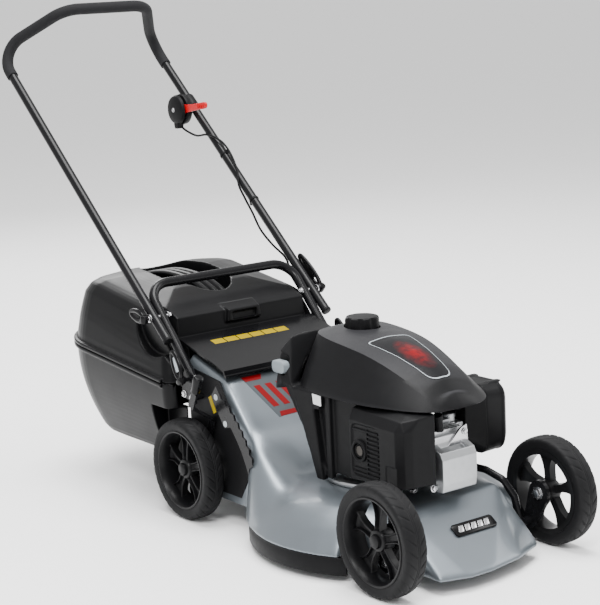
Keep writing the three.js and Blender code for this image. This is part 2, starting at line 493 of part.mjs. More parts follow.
const upperPath = [onLeg(-HANDLE.x, -64), onLeg(-HANDLE.x, 794), [-104, 557, 1003], [104, 557, 1003],
  onLeg(HANDLE.x, 794), onLeg(HANDLE.x, -64)];
const upperBends = [50, 60, 60, 50];
add("upper_handle", "bar", cut(tube(upperPath, HANDLE.r, upperBends, 12, 3), boltHoles[0], boltHoles[2]));
const foamPath = [onLeg(-HANDLE.x, 712), ...upperPath.slice(1, 5), onLeg(HANDLE.x, 712)];
add("foam_grip", "foam", tubeAlong(new BentPath(foamPath, upperBends, 3), HANDLE.foamR, 12, HANDLE.r + 1));

for (const [side, s] of [["left", 1], ["right", -1]]) {
  const [py, pz] = [HANDLE.pivotY, HANDLE.pivotZ];
  add(`fold_bolt_${side}`, "steel", join(bolt(s, 161, 212, py, pz, BOLT.r), bolt(s, 161, 168.2, py, pz,
    7.5)));
  const [qy, qz] = [HANDLE.footY, HANDLE.footZ];
  const ear = plateX([[qy - 16, qz + 12], [qy + 6, qz + 20], [qy + 20, qz + 4], [26, 244], [-22, 236]],
    188.6, 192.6);
  const posts = [[-10, 246], [17, 250]].map(([y, z]) => rod([168.3, y, z], [190, y, z], 6.5, undefined,
    14));
  const stud = rod([168.8, qy, qz], [197, qy, qz], BOLT.r, undefined, 14);
  const bracket = join(ear, ...posts, stud);
  add(`handle_bracket_${side}`, "black", s > 0 ? bracket : bracket.mirror([1, 0, 0]));
}

// A cam lever: a barrel across the bolt's end and a flat bar lying along the tube.
function camLever(s, x, [y, z], degrees, length) {
  const barrel = rod([x + 9.5, 0, -7], [x + 9.5, 0, 7], 8.5, undefined, 18);
  const bar = hull([[x + 4, 0, -6], [x + 4, 0, 6], [x + 16, 0, -6], [x + 16, 0, 6], [x + 6, length, -8],
    [x + 6, length, 8], [x + 12, length, -8], [x + 12, length, 8], [x + 5, length * 0.5, -6],
      [x + 5, length * 0.5, 6],
    [x + 14, length * 0.5, -6], [x + 14, length * 0.5, 6]]);
  const right = join(barrel, bar).rotate([degrees, 0, 0]).translate([0, y, z]);
  return s > 0 ? right : right.mirror([1, 0, 0]);
}
const foldAt = [HANDLE.pivotY, HANDLE.pivotZ];
const footAt = [HANDLE.footY, HANDLE.footZ];
add("fold_lever_left", "gloss", camLever(1, 212.3, foldAt, 41.3, 98));
add("fold_lever_right", "gloss", camLever(-1, 212.3, foldAt, 8, 56));
add("foot_lever_left", "gloss", camLever(1, 197.3, footAt, 62, 62));
add("foot_lever_right", "gloss", camLever(-1, 197.3, footAt, 62, 62));

// Throttle control on the inner face of the left leg, with a slot for its lever.
const THROTTLE = { y: 555, z: 763, x0: 162, x1: 188.3, r: 36, pin: 5, slot: [171, 177] };
const throttlePin = (r) => rod([160, THROTTLE.y, THROTTLE.z], [186, THROTTLE.y, THROTTLE.z], r,
  undefined, 16);
const shellBody = rod([THROTTLE.x0, THROTTLE.y, THROTTLE.z], [THROTTLE.x1, THROTTLE.y, THROTTLE.z], 33,
  THROTTLE.r, 10);
const slotBox = box(THROTTLE.slot[0] - GAP, THROTTLE.slot[1] + GAP, THROTTLE.y - 60, THROTTLE.y + 20,
  THROTTLE.z - 26, THROTTLE.z + 30);
add("throttle_housing", "black", join(cut(shellBody, slotBox), throttlePin(THROTTLE.pin)));
const leverPlate = plateX([[THROTTLE.y + 9, THROTTLE.z + 10], [THROTTLE.y - 12, THROTTLE.z + 12],
  [THROTTLE.y - 112, THROTTLE.z + 21], [THROTTLE.y - 117, THROTTLE.z + 13],
    [THROTTLE.y - 112, THROTTLE.z + 5],
  [THROTTLE.y - 12, THROTTLE.z - 11], [THROTTLE.y + 9, THROTTLE.z - 10]], ...THROTTLE.slot);
add("throttle_lever", "red", cut(leverPlate, throttlePin(THROTTLE.pin + GAP)));

// Throttle cable, in two lengths that meet at the fold.
const CABLE = { r: 2.5, sides: 8 };
function cable(points) {
  const curve = new THREE.CatmullRomCurve3(points.map((p) => V(...p)), false, "centripetal");
  const section = new THREE.Shape(ellipse(0, 0, CABLE.r, CABLE.r, CABLE.sides));
  const steps = 2 * points.length;
  return toManifold(new THREE.ExtrudeGeometry(section, { steps, bevelEnabled: false, extrudePath: curve }));
}
const X = HANDLE.x;
add("throttle_cable_upper", "black", cable([[175, THROTTLE.y, THROTTLE.z - 37], onLeg(178, 535, -42),
  onLeg(182, 502, -26), onLeg(184, 478, 0), onLeg(189, 455, 14), onLeg(X, 430, 17.5), onLeg(X, 394, 18.5),
  onLeg(193, 350, 13), onLeg(185, 318, 0), onLeg(191, 290, -14), onLeg(X, 255, -28), onLeg(X, 210, -36),
  onLeg(X, 160, -30), onLeg(197, 112, -16), onLeg(193, 88, -15)]));
add("throttle_cable_lower", "black", cable([onLeg(192.7, 87, -15), onLeg(184.5, 70, -16), onLeg(183, 20,
  -18), [183, 89, 352],
  [184, 62, 322], [190, 50, 314], [195.5, 34, 312], [195.5, -30, 309],
  [186, -110, 300], [150, -175, 285], [118, -240, 274], [100, -330, 266], [78, -420, 264],
    [68, -474, 255.5]]));

// ---------- discharge flap ----------
const flapZ = (y) => FLAP.z + FLAP.rise * (y - FLAP.y);
const acrossFlap = (edge) => hull(mirrorX(edge.map(([y, z]) => [FLAP.width / 2, y, z])));
const flapRear = FLAP.y + FLAP.length;
const flapPlate = acrossFlap([[FLAP.y - 8, FLAP.z - FLAP.thick / 2], [FLAP.y - 8, FLAP.z + FLAP.thick / 2],
  [flapRear, flapZ(flapRear) - FLAP.thick / 2], [flapRear, flapZ(flapRear) + FLAP.thick / 2]]);
const flapLip = acrossFlap([[-92, 296], [-89, 296], [-88, 308], [-84, 306]]);
// The hinge barrel runs along the lip's lower edge, so the whole flap swings clear of the deck.
const flapBarrel = rod([-FLAP.width / 2, FLAP.hingeY, FLAP.hingeZ],
  [FLAP.width / 2, FLAP.hingeY, FLAP.hingeZ],
  FLAP.barrelR, undefined, 16);
add("rear_flap", "gloss", join(flapPlate, flapLip, flapBarrel));

// ---------- catcher ----------
const rimZ = (y) => CATCHER.rim + CATCHER.slope * y;
function outline(grow, rearR = 120, frontR = 24, per = 4) {
  const hx = CATCHER.halfX + grow;
  const corners = [[hx - rearR, CATCHER.rearY + grow - rearR, rearR, 0],
    [-hx + rearR, CATCHER.rearY + grow - rearR, rearR, 90],
    [-hx + frontR, CATCHER.frontY + frontR, frontR, 180],
      [hx - frontR, CATCHER.frontY + frontR, frontR, 270]];
  return corners.flatMap(([x, y, r, from]) => Array.from({ length: per + 1 }, (_, i) => {
    const a = ((from + (90 * i) / per) * Math.PI) / 180;
    return [x + r * Math.cos(a), y + r * Math.sin(a)];
  }));
}
const ring = (grow, lift, floor) => outline(grow).map(([x, y]) => [x, y, floor ?? rimZ(y) + lift]);
const wheelRoom = (t) => [-1, 1].map((s) => box(Math.min(s * (171.5 - t), s * 400),
  Math.max(s * (171.5 - t), s * 400),
  -100, 128 + t, 0, 226 + t));
function binForm(t) {
  const low = outline(-42 - t).map(([x, y]) => [x, y, CATCHER.floor + t + Math.max(0, y - 360) * 0.18]);
  return cut(hull([...ring(-t, t ? 20 : 0), ...ring(-6 - t, -70), ...ring(-18 - t, -130), ...low]),
    ...wheelRoom(t));
}
const mouth = box(-148, 148, 20, 44 + 26, 112, 322);
const seam = (z0, z1) => cut(hull([...ring(7, z0), ...ring(7, z1)]), hull([...ring(-3, z0 - 30),
  ...ring(-3, z1 + 30)]));
const notFront = box(-300, 300, 60, 700, 100, 500);
add("catcher_bin", "black", cut(join(binForm(0), clip(seam(-9, -0.5), notFront)), binForm(CATCHER.wall),
  mouth));

const LID = { top: 442, edgeY: 100, edgeZ: 394 };
function lidForm(t) {
  const down = t ? -20 : 0.3;
  return hull([...ring(-t, down), ...ring(-10 - t, 60 - t), ...mirrorX([[172 - t, 96 + t, 390 - t],
    [150 - t, LID.edgeY + t, LID.edgeZ - t], [184 - t, 200, 412 - t], [180 - t, 310, 420 - t],
      [164 - t, 410, 416 - t],
    [128 - t, 458 - t, 414 - t], [118 - t, 200, 428 - t], [116 - t, 310, LID.top - t],
      [104 - t, 410, LID.top - t]]),
    [0, 200, 430 - t], [0, 310, LID.top + 5 - t], [0, 400, LID.top + 6 - t], [0, 468 - t, 436 - t]]);
}
const shelfCut = (t) => hull(mirrorX([[260, -40, flapZ(-40) - 5 - t], [260, 82 + t, flapZ(82) - 5 - t],
  [260, -40, 480],
  [260, 90 + t, 480]]));
// Room for the lower handle's legs, which pass the lid on both sides.
const legRoom = (t) => [-1, 1].map((s) => hull([[-60, 181], [200, 461], [-60, 461]].flatMap(([y, z]) =>
  [158 - t, 400].map((x) => [s * x, y + 0.73 * t, z - 0.68 * t]))));
// Room for the lower ends of the upper handle, which swing round the fold pivots.
const FOLD_ROOM = { r: 79, x: 184 };
const foldRoom = (t) => [-1, 1].map((s) => rod([s * (FOLD_ROOM.x - t), HANDLE.pivotY, HANDLE.pivotZ],
  [s * 260, HANDLE.pivotY, HANDLE.pivotZ], FOLD_ROOM.r + t, undefined, 32));
const oval = (grow, z0, z1) => {
  const shape = new THREE.Shape(ellipse(0, 298, 74 + grow, 140 + grow, 20));
  return toManifold(new THREE.ExtrudeGeometry(shape, { depth: z1 - z0,
    bevelEnabled: false }).translate(0, 0, z0));
};
const POCKET = { floor: 386 };
const lidOuter = cut(lidForm(0), shelfCut(0), ...legRoom(0), ...foldRoom(0), oval(0, POCKET.floor, 460));
const lidInner = cut(lidForm(CATCHER.wall), shelfCut(CATCHER.wall), ...legRoom(CATCHER.wall),
  ...foldRoom(CATCHER.wall),
  oval(CATCHER.wall, POCKET.floor - CATCHER.wall, 460));
const carryBar = join(...[-18, 0, 18].map((x) => hull([[x - 8, 150, 400], [x + 8, 150, 400],
  [x - 8, 150, 414],
  [x + 8, 150, 414], [x - 5, 300, 436], [x + 5, 300, 436], [x - 10, 300, 418], [x + 10, 300, 418],
  [x - 8, 444, 408], [x + 8, 444, 408], [x - 8, 444, 432], [x + 8, 444, 432]])));
const catchBlock = hull([[-42, 96, 358], [42, 96, 358], [-42, 74, 364], [42, 74, 364], [-38, 74, 388],
  [38, 74, 388], [-42, 106, 398], [42, 106, 398]]);
add("catcher_lid", "gloss", cut(join(lidOuter, catchBlock, clip(seam(0.5, 9), notFront), carryBar),
  lidInner, mouth));

// The origin is on the ground under the middle of the whole machine.
mower.position.y = CENTRE_SHIFT;

export default mower;
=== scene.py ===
import json
import math

import bmesh
import bpy
from mathutils import Matrix, Vector
from mathutils.bvhtree import BVHTree


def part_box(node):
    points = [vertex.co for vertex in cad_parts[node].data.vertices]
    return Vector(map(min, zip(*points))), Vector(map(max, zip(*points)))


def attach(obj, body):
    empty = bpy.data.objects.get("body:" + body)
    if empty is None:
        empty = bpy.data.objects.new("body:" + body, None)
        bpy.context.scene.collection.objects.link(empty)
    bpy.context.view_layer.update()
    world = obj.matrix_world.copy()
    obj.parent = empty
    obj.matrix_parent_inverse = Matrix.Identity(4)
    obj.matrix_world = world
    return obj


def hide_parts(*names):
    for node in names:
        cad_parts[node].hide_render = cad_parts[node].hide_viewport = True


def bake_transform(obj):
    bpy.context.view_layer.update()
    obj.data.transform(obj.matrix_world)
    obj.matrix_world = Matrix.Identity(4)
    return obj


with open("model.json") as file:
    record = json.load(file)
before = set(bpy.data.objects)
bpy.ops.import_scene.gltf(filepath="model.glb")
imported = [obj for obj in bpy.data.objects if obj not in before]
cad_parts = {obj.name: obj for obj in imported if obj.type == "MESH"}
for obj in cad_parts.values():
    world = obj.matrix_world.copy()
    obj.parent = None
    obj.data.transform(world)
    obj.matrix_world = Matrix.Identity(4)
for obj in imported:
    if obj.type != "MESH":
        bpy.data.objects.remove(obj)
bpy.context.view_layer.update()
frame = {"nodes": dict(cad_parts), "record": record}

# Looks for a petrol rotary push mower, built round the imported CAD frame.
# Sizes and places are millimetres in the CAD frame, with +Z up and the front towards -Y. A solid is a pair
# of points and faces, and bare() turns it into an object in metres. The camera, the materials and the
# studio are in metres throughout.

NODES = frame["nodes"]
JOINTS = {joint["name"]: joint for joint in frame["record"]["behaviour"]["joints"]}
MM = 0.001
SIDES = (("left", 1), ("right", -1))


def pivot(joint):
    """A joint's place, in millimetres."""
    return Vector(JOINTS[joint]["pos_m"]) / MM


def lows(node):
    return Vector(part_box(node)[0]) / MM


def highs(node):
    return Vector(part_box(node)[1]) / MM


# ---------- camera ----------
CAMERA = {"azimuth": -36.04, "elevation": 10.89, "roll": -2.72, "distance": 3.17367,
          "target": Vector((-0.07988, -0.22065, 0.44858)), "lens": 100.405}


def make_camera():
    azimuth, elevation, roll = (math.radians(CAMERA[key]) for key in ("azimuth", "elevation", "roll"))
    back = Vector((math.cos(elevation) * math.sin(azimuth), -math.cos(elevation) * math.cos(azimuth),
                   math.sin(elevation)))
    level = Vector((0, 0, 1)).cross(back).normalized()
    upright = back.cross(level)
    right = math.cos(roll) * level + math.sin(roll) * upright
    up = math.cos(roll) * upright - math.sin(roll) * level
    data = bpy.data.cameras.new("camera")
    data.lens = CAMERA["lens"]
    data.clip_start = 0.1
    camera = bpy.data.objects.new("camera", data)
    place = CAMERA["target"] + CAMERA["distance"] * back
    camera.matrix_world = Matrix.Translation(place) @ Matrix((right, up, back)).transposed().to_4x4()
    bpy.context.scene.collection.objects.link(camera)
    bpy.context.scene.camera = camera


# ---------- materials ----------
def shader_node(tree, kind, inputs=None, **settings):
    """A new shader node. An input is given as a value, or as the output that feeds it."""
    node = tree.nodes.new("ShaderNode" + kind)
    for key, value in settings.items():
        setattr(node, key, value)
    for key, value in (inputs or {}).items():
        if isinstance(value, bpy.types.NodeSocket):
            tree.links.new(value, node.inputs[key])
        else:
            node.inputs[key].default_value = value
    return node


def surface(name, colour, rough, metal=0.0, coat=0.0, mottle=0.1, spots=30.0, grain=1500.0, bump=0.2,
            depth=0.0002, rough_spread=0.08, stretch=(1, 1, 1), edge_wear_and_highlight=0.0, edge_wear_and_highlight_colour=(0.3, 0.3, 0.3),
            shine=0.5):
    """A finish with broad tone changes, uneven gloss, fine grain and, where wanted, paler edges: edge wear,
    and on the cowl partly a painted highlight along its crease.
    """
    material = bpy.data.materials.new(name)
    material.use_nodes = True
    tree = material.node_tree
    where = shader_node(tree, "TexCoord").outputs["Object"]
    scaled = shader_node(tree, "Mapping", {"Vector": where, "Scale": stretch}).outputs["Vector"]

    def noise(scale, detail=3.0):
        made = shader_node(tree, "TexNoise", {"Vector": scaled, "Scale": scale, "Detail": detail})
        return made.outputs["Fac"]

    tone = shader_node(tree, "Mix", {"A": (*[c * (1 - mottle) for c in colour], 1),
                                     "B": (*[min(1, c * (1 + mottle)) for c in colour], 1),
                                     "Factor": noise(spots)}, data_type="RGBA")
    gloss = shader_node(tree, "MapRange", {"To Min": max(0.02, rough - rough_spread),
                                           "To Max": rough + rough_spread, "Value": noise(spots * 2.3, 5.0)})
    relief = shader_node(tree, "Bump", {"Strength": bump, "Distance": depth, "Height": noise(grain, 2.0)})
    shader = tree.nodes["Principled BSDF"].inputs
    for key, node, output in (("Base Color", tone, "Result"), ("Roughness", gloss, "Result"),
                              ("Normal", relief, "Normal")):
        tree.links.new(node.outputs[output], shader[key])
    for key, value in (("Metallic", metal), ("Specular IOR Level", shine), ("Coat Weight", coat),
                       ("Coat Roughness", 0.06)):
        shader[key].default_value = value
    if edge_wear_and_highlight:
        # Paler pointed edges: edge wear, and on the cowl a painted highlight that shows its crease.
        edges = shader_node(tree, "NewGeometry").outputs["Pointiness"]
        edge_wear_and_highlight_mask = shader_node(tree, "MapRange", {"From Min": 0.53, "From Max": 0.62, "To Max": edge_wear_and_highlight,
                                              "Value": edges})
        tinted(material, edge_wear_and_highlight_mask.outputs["Result"], edge_wear_and_highlight_colour)
    return material


def tinted(material, factor, colour):
    """Lays a colour over a finish's own, as far as a node's output says."""
    tree = material.node_tree
    base = tree.nodes["Principled BSDF"].inputs["Base Color"]
    mix = shader_node(tree, "Mix", {"A": base.links[0].from_socket, "B": (*colour, 1), "Factor": factor},
                      data_type="RGBA")
    tree.links.new(mix.outputs["Result"], base)
    return material


def cowl_with_painted_top_light():
    """Textured black with a painted top light: the tone is paler where the cowl's surface faces up."""
    # The paler edges here are partly a painted highlight along the crease round the cowl's top.
    material = surface("cowl_black_painted_top_light", (0.0045, 0.0045, 0.005), 0.42, mottle=0.18, grain=1900, bump=0.3,
                       edge_wear_and_highlight=0.3, edge_wear_and_highlight_colour=(0.022, 0.022, 0.024), shine=0.1)
    tree = material.node_tree
    facing = shader_node(tree, "TexCoord").outputs["Normal"]
    height = shader_node(tree, "SeparateXYZ", {"Vector": facing}).outputs["Z"]
    # Painted top light: faces turned upwards are tinted paler, as light from above falls on them.
    painted_top_light_mask = shader_node(tree, "MapRange", {"From Min": 0.80, "From Max": 0.90, "To Max": 0.9,
                                            "Value": height})
    return tinted(material, painted_top_light_mask.outputs["Result"], (0.020, 0.020, 0.022))


def panel_finish():
    """A dark panel with a patchy red glow at its middle."""
    material = surface("cowl_panel", (0.005, 0.005, 0.006), 0.36, mottle=0.15, grain=900, bump=0.05,
                       shine=0.1)
    tree = material.node_tree
    where = shader_node(tree, "TexCoord").outputs["Object"]
    middle_y, half_width, half_length = -0.455, 0.030, 0.054
    spot = shader_node(tree, "Mapping", {"Vector": where, "Location": (0.0, -middle_y / half_length, 0.0),
                                         "Scale": (1 / half_width, 1 / half_length, 0.0)})
    ball = shader_node(tree, "TexGradient", {"Vector": spot.outputs["Vector"]}, gradient_type="SPHERICAL")
    cloud = shader_node(tree, "TexNoise", {"Vector": where, "Scale": 70.0})
    patchy = shader_node(tree, "MapRange", {"From Min": 0.38, "From Max": 0.6, "To Min": 0.35,
                                            "Value": cloud.outputs["Fac"]})
    glow = shader_node(tree, "Math", {0: ball.outputs["Fac"], 1: patchy.outputs["Result"]},
                       operation="MULTIPLY")
    return tinted(material, glow.outputs["Value"], (0.17, 0.0, 0.002))


def make_materials():
    return {
        "deck": surface("deck_paint", (0.145, 0.165, 0.182), 0.36, metal=0.7, coat=0.2, mottle=0.06, spots=14,
                        grain=2600, bump=0.12, depth=0.0001, rough_spread=0.05),
        "black": surface("textured_black", (0.0045, 0.0045, 0.005), 0.48, mottle=0.18, grain=1900, bump=0.35,
                         edge_wear_and_highlight=0.15, edge_wear_and_highlight_colour=(0.015, 0.015, 0.016), shine=0.09),
        "catcher": surface("satin_black", (0.003, 0.003, 0.0034), 0.34, mottle=0.2, spots=9, grain=900,
                           bump=0.12, edge_wear_and_highlight=0.2, edge_wear_and_highlight_colour=(0.015, 0.015, 0.015), shine=0.11),
        "gloss": surface("gloss_black", (0.003, 0.003, 0.0034), 0.2, mottle=0.15, spots=12, grain=700,
                         bump=0.05, rough_spread=0.04, shine=0.14),
        "tube": surface("black_enamel", (0.004, 0.004, 0.0046), 0.26, mottle=0.15, grain=500, bump=0.06,
                        rough_spread=0.05, edge_wear_and_highlight=0.08, edge_wear_and_highlight_colour=(0.03, 0.03, 0.032), shine=0.16),
        "tyre": surface("tyre_rubber", (0.0055, 0.0055, 0.006), 0.6, mottle=0.25, spots=40, grain=1100,
                        bump=0.45, shine=0.13),
        "rim": surface("rim_plastic", (0.004, 0.004, 0.0045), 0.34, mottle=0.2, spots=50, grain=1600,
                       edge_wear_and_highlight=0.2, edge_wear_and_highlight_colour=(0.015, 0.015, 0.015), shine=0.13),
        "foam": surface("foam", (0.007, 0.007, 0.008), 0.8, mottle=0.3, spots=200, grain=2600, bump=0.9,
                        depth=0.0004, shine=0.2),
        "cast": surface("cast_alloy", (0.40, 0.41, 0.42), 0.42, 1.0, spots=60, grain=1300, bump=0.5,
                        edge_wear_and_highlight=0.3, edge_wear_and_highlight_colour=(0.8, 0.8, 0.8)),
        "steel": surface("plated_steel", (0.5, 0.5, 0.51), 0.24, 1.0, mottle=0.08, spots=80, grain=900,
                         bump=0.12),
        "blade": surface("ground_steel", (0.42, 0.43, 0.45), 0.32, 1.0, mottle=0.15, grain=500, bump=0.3,
                         stretch=(1, 1, 6)),
        "soot": surface("hot_steel", (0.06, 0.055, 0.05), 0.55, 0.9, mottle=0.4, spots=25, grain=700,
                        bump=0.4),
        "red": surface("red_plastic", (0.42, 0.0, 0.004), 0.3, mottle=0.08, grain=900, bump=0.1, shine=0.3),
        "red_film": surface("red_film", (0.15, 0.0, 0.002), 0.42, mottle=0.1, spots=40, grain=900, bump=0.05,
                            shine=0.12),
        "grey_film": surface("grey_film", (0.052, 0.060, 0.066), 0.42, 0.2, mottle=0.08, grain=900, bump=0.05,
                             shine=0.2),
        "pale": surface("pale_grey", (0.32, 0.35, 0.37), 0.4, mottle=0.08, grain=1200, bump=0.15, shine=0.3),
        "grip": surface("grip_grey", (0.17, 0.195, 0.21), 0.45, mottle=0.1, grain=1200, bump=0.2, shine=0.25),
        "white": surface("white_film", (0.62, 0.63, 0.64), 0.4, mottle=0.04, grain=900, bump=0.05),
        "yellow": surface("yellow_film", (0.25, 0.18, 0.0), 0.45, mottle=0.05, grain=900, bump=0.05,
                          shine=0.08),
        "cowl_panel": panel_finish(),
        "cowl": cowl_with_painted_top_light(),
    }


# ---------- mesh building ----------
def joined(*parts):
    """Several (points, faces) pairs as one."""
    points, faces = [], []
    for part_points, part_faces in parts:
        start = len(points)
        points += part_points
        faces += [tuple(start + i for i in face) for face in part_faces]
    return points, faces


def loft(rings, closed=False):
    """Rings of equally many points, skinned in order; the ends are capped, or the last joins the first."""
    count = len(rings[0])
    points = [Vector(p) for ring in rings for p in ring]
    faces = []
    for k in range(len(rings) if closed else len(rings) - 1):
        a, b = k * count, ((k + 1) % len(rings)) * count
        faces += [(a + i, a + (i + 1) % count, b + (i + 1) % count, b + i) for i in range(count)]
    if not closed:
        faces.append(tuple(reversed(range(count))))
        faces.append(tuple(range((len(rings) - 1) * count, len(rings) * count)))
    return points, faces


def lathe(profile, centre, axis="z", sides=96, span=(0.0, 360.0)):
    """A closed profile of (radius, height) turned about an axis through centre, all round or over a span."""
    full = span[1] - span[0] >= 360
    rings = []
    for i in range(sides if full else sides + 1):
        angle = math.radians(span[0] + (span[1] - span[0]) * i / sides)
        c, s = math.cos(angle), math.sin(angle)
        if axis == "z":
            ring = [(r * c, r * s, h) for r, h in profile]
        elif axis == "y":
            ring = [(r * s, h, r * c) for r, h in profile]
        else:
            ring = [(h, r * c, r * s) for r, h in profile]
        rings.append([Vector(p) + Vector(centre) for p in ring])
    return loft(rings, closed=full)


def bent(corners, radii, per=8):
    """Straight runs joined by round bends."""
    points = [Vector(c) for c in corners]
    radii = radii if isinstance(radii, (list, tuple)) else [radii] * (len(points) - 2)
    path = [points[0]]
    for i, radius in enumerate(radii, 1):
        into = (points[i] - points[i - 1]).normalized()
        out = (points[i + 1] - points[i]).normalized()
        turn = into.angle(out)
        normal = (out - into * out.dot(into)).normalized()
        start = points[i] - into * radius * math.tan(turn / 2)
        for k in range(per + 1):
            angle = turn * k / per
            path.append(start + into * radius * math.sin(angle) + normal * radius * (1 - math.cos(angle)))
    return path + [points[-1]]


def smooth_path(points, per):
    """A Catmull-Rom curve through the points."""
    p = [Vector(q) for q in points]
    p = [2 * p[0] - p[1]] + p + [2 * p[-1] - p[-2]]
    path = []
    for i in range(1, len(p) - 2):
        for k in range(per):
            t = k / per
            path.append(0.5 * (2 * p[i] + (p[i + 1] - p[i - 1]) * t
                               + (2 * p[i - 1] - 5 * p[i] + 4 * p[i + 1] - p[i + 2]) * t ** 2
                               + (3 * p[i] - 3 * p[i + 1] + p[i + 2] - p[i - 1]) * t ** 3))
    return path + [p[-2]]


def sweep(path, radius, sides=24, flat=1.0, up=(1, 0, 0)):
    """A round or flattened section carried along a path. radius is one number or one per point."""
    radii = radius if isinstance(radius, (list, tuple)) else [radius] * len(path)
    side = Vector(up)
    angles = [2 * math.pi * k / sides for k in range(sides)]
    rings = []
    for i, at in enumerate(path):
        along = (path[min(i + 1, len(path) - 1)] - path[max(i - 1, 0)]).normalized()
        side = (side - along * side.dot(along)).normalized()
        other = along.cross(side)
        rings.append([at + radii[i] * (math.cos(a) * side + flat * math.sin(a) * other) for a in angles])
    return loft(rings)


def rod(a, b, r0, r1=None, sides=32):
    a, b = Vector(a), Vector(b)
    up = (1, 0, 0) if abs((b - a).normalized().x) < 0.9 else (0, 1, 0)
    return sweep([a, b], [r0, r0 if r1 is None else r1], sides, up=up)


def cross_rod(x0, x1, at, radius, sides=32):
    """A rod along X, level with a point."""
    return rod((x0, at[1], at[2]), (x1, at[1], at[2]), radius, sides=sides)


def pill(a, b, radius, ease=1.5, sides=32):
    """A rod with rounded-over ends."""
    a, b = Vector(a), Vector(b)
    along = (b - a).normalized()
    steps = [(0, 1 - ease / radius), (0.3 * ease, 1 - 0.3 * ease / radius), (ease, 1)]
    path = [a + along * d for d, _ in steps] + [b - along * d for d, _ in reversed(steps)]
    radii = [radius * f for _, f in steps] + [radius * f for _, f in reversed(steps)]
    up = (1, 0, 0) if abs(along.x) < 0.9 else (0, 1, 0)
    return sweep(path, radii, sides, up=up)


def block(low, high):
    (x0, y0, z0), (x1, y1, z1) = low, high
    return loft([[(x0, y0, z), (x1, y0, z), (x1, y1, z), (x0, y1, z)] for z in (z0, z1)])


def slab(outline, x0, x1):
    """An outline of (y, z) carried straight along X."""
    return loft([[(x, y, z) for y, z in outline] for x in sorted((x0, x1))])


def quarter_arcs(corners, per):
    """An outline of four quarter turns round (x, y, radius) centres, from 0, 90, 180 and 270 degrees."""
    points = []
    for i, (x, y, radius) in enumerate(corners):
        for k in range(per + 1):
            angle = math.radians(90 * i + 90 * k / per)
            points.append((x + radius * math.cos(angle), y + radius * math.sin(angle)))
    return points


def box_loft(stations):
    """A loft along X of boxes (x, low, high, radius), rounded round the X direction."""
    rings = []
    for x, (y0, z0), (y1, z1), r in stations:
        corners = [(y1 - r, z1 - r, r), (y0 + r, z1 - r, r), (y0 + r, z0 + r, r), (y1 - r, z0 + r, r)]
        rings.append([(x, y, z) for y, z in quarter_arcs(corners, 5)])
    return loft(rings)


def convex(points):
    """The convex hull of some points."""
    bm = bmesh.new()
    for p in points:
        bm.verts.new(p)
    bmesh.ops.convex_hull(bm, input=bm.verts)
    bmesh.ops.delete(bm, geom=[v for v in bm.verts if not v.link_faces], context="VERTS")
    bm.verts.index_update()
    solid = ([v.co.copy() for v in bm.verts], [tuple(v.index for v in f.verts) for f in bm.faces])
    bm.free()
    return solid


def hex_head(centre, axis, size, height):
    centre, axis = Vector(centre), Vector(axis)
    washer = rod(centre - axis * 0.5, centre + axis * 1.2, size * 1.25)
    return joined(washer, rod(centre, centre + axis * height, size, size * 0.94, 6))


def moved(solid, matrix):
    return [matrix @ p for p in solid[0]], solid[1]


def mirrored(solid):
    return [Vector((-p.x, p.y, p.z)) for p in solid[0]], solid[1]


# ---------- objects ----------
def mark_sharp(mesh, degrees):
    bm = bmesh.new()
    bm.from_mesh(mesh)
    bmesh.ops.recalc_face_normals(bm, faces=bm.faces)
    for face in bm.faces:
        face.smooth = True
    for edge in bm.edges:
        edge.smooth = not edge.is_manifold or edge.calc_face_angle(0) < math.radians(degrees)
    bm.to_mesh(mesh)
    bm.free()


def bake(obj):
    """Applies an object's modifiers to its mesh."""
    shape = bpy.data.meshes.new_from_object(obj.evaluated_get(bpy.context.evaluated_depsgraph_get()))
    obj.modifiers.clear()
    obj.data = shape


def modify(obj, kind, **settings):
    """Adds a modifier with its settings."""
    modifier = obj.modifiers.new(kind.lower(), kind)
    for key, value in settings.items():
        setattr(modifier, key, value)
    return modifier


def taken(obj):
    """An object's points and faces in millimetres; the object itself goes."""
    shape = ([v.co / MM for v in obj.data.vertices], [tuple(p.vertices) for p in obj.data.polygons])
    bpy.data.objects.remove(obj)
    return shape


def bare(name, solid):
    """A new object from a solid, with no finish yet."""
    mesh = bpy.data.meshes.new(name)
    mesh.from_pydata([p * MM for p in solid[0]], [], solid[1])
    obj = bpy.data.objects.new(name, mesh)
    bpy.context.scene.collection.objects.link(obj)
    mark_sharp(mesh, 180)
    return obj


def carved(name, solid, cutters):
    """A solid cut by others, given back as points and faces in millimetres."""
    obj = bare(name, solid)
    for i, cutter_solid in enumerate(cutters):
        cutter = bare(f"{name}_cutter_{i}", cutter_solid)
        modify(obj, "BOOLEAN", operation="DIFFERENCE", solver="EXACT", object=cutter)
        bake(obj)
        bpy.data.objects.remove(cutter)
    return taken(obj)


def fused(name, solid, voxel):
    """A new object in which overlapping closed shapes are one skin."""
    obj = bare(name, solid)
    modify(obj, "REMESH", mode="VOXEL", voxel_size=voxel * MM)
    bake(obj)
    return obj


def settle(obj, finish, body, stands_for=(), sharp=35):
    """Gives a piece its finish, its shading and the body that it rides on."""
    mark_sharp(obj.data, sharp)
    obj.data.materials.clear()
    obj.data.materials.append(MATERIALS[finish])
    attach(obj, body)
    if stands_for:
        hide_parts(*stands_for)
    return obj


def piece(name, solid, finish, body, stands_for=(), bevel=0.0, sharp=35):
    """A piece of the visual model from a solid, with its edges rounded by bevel."""
    obj = bare(name, solid)
    if bevel:
        modify(obj, "BEVEL", width=bevel * MM, segments=3, limit_method="ANGLE", angle_limit=math.radians(30))
        bake(obj)
    return settle(obj, finish, body, stands_for, sharp)


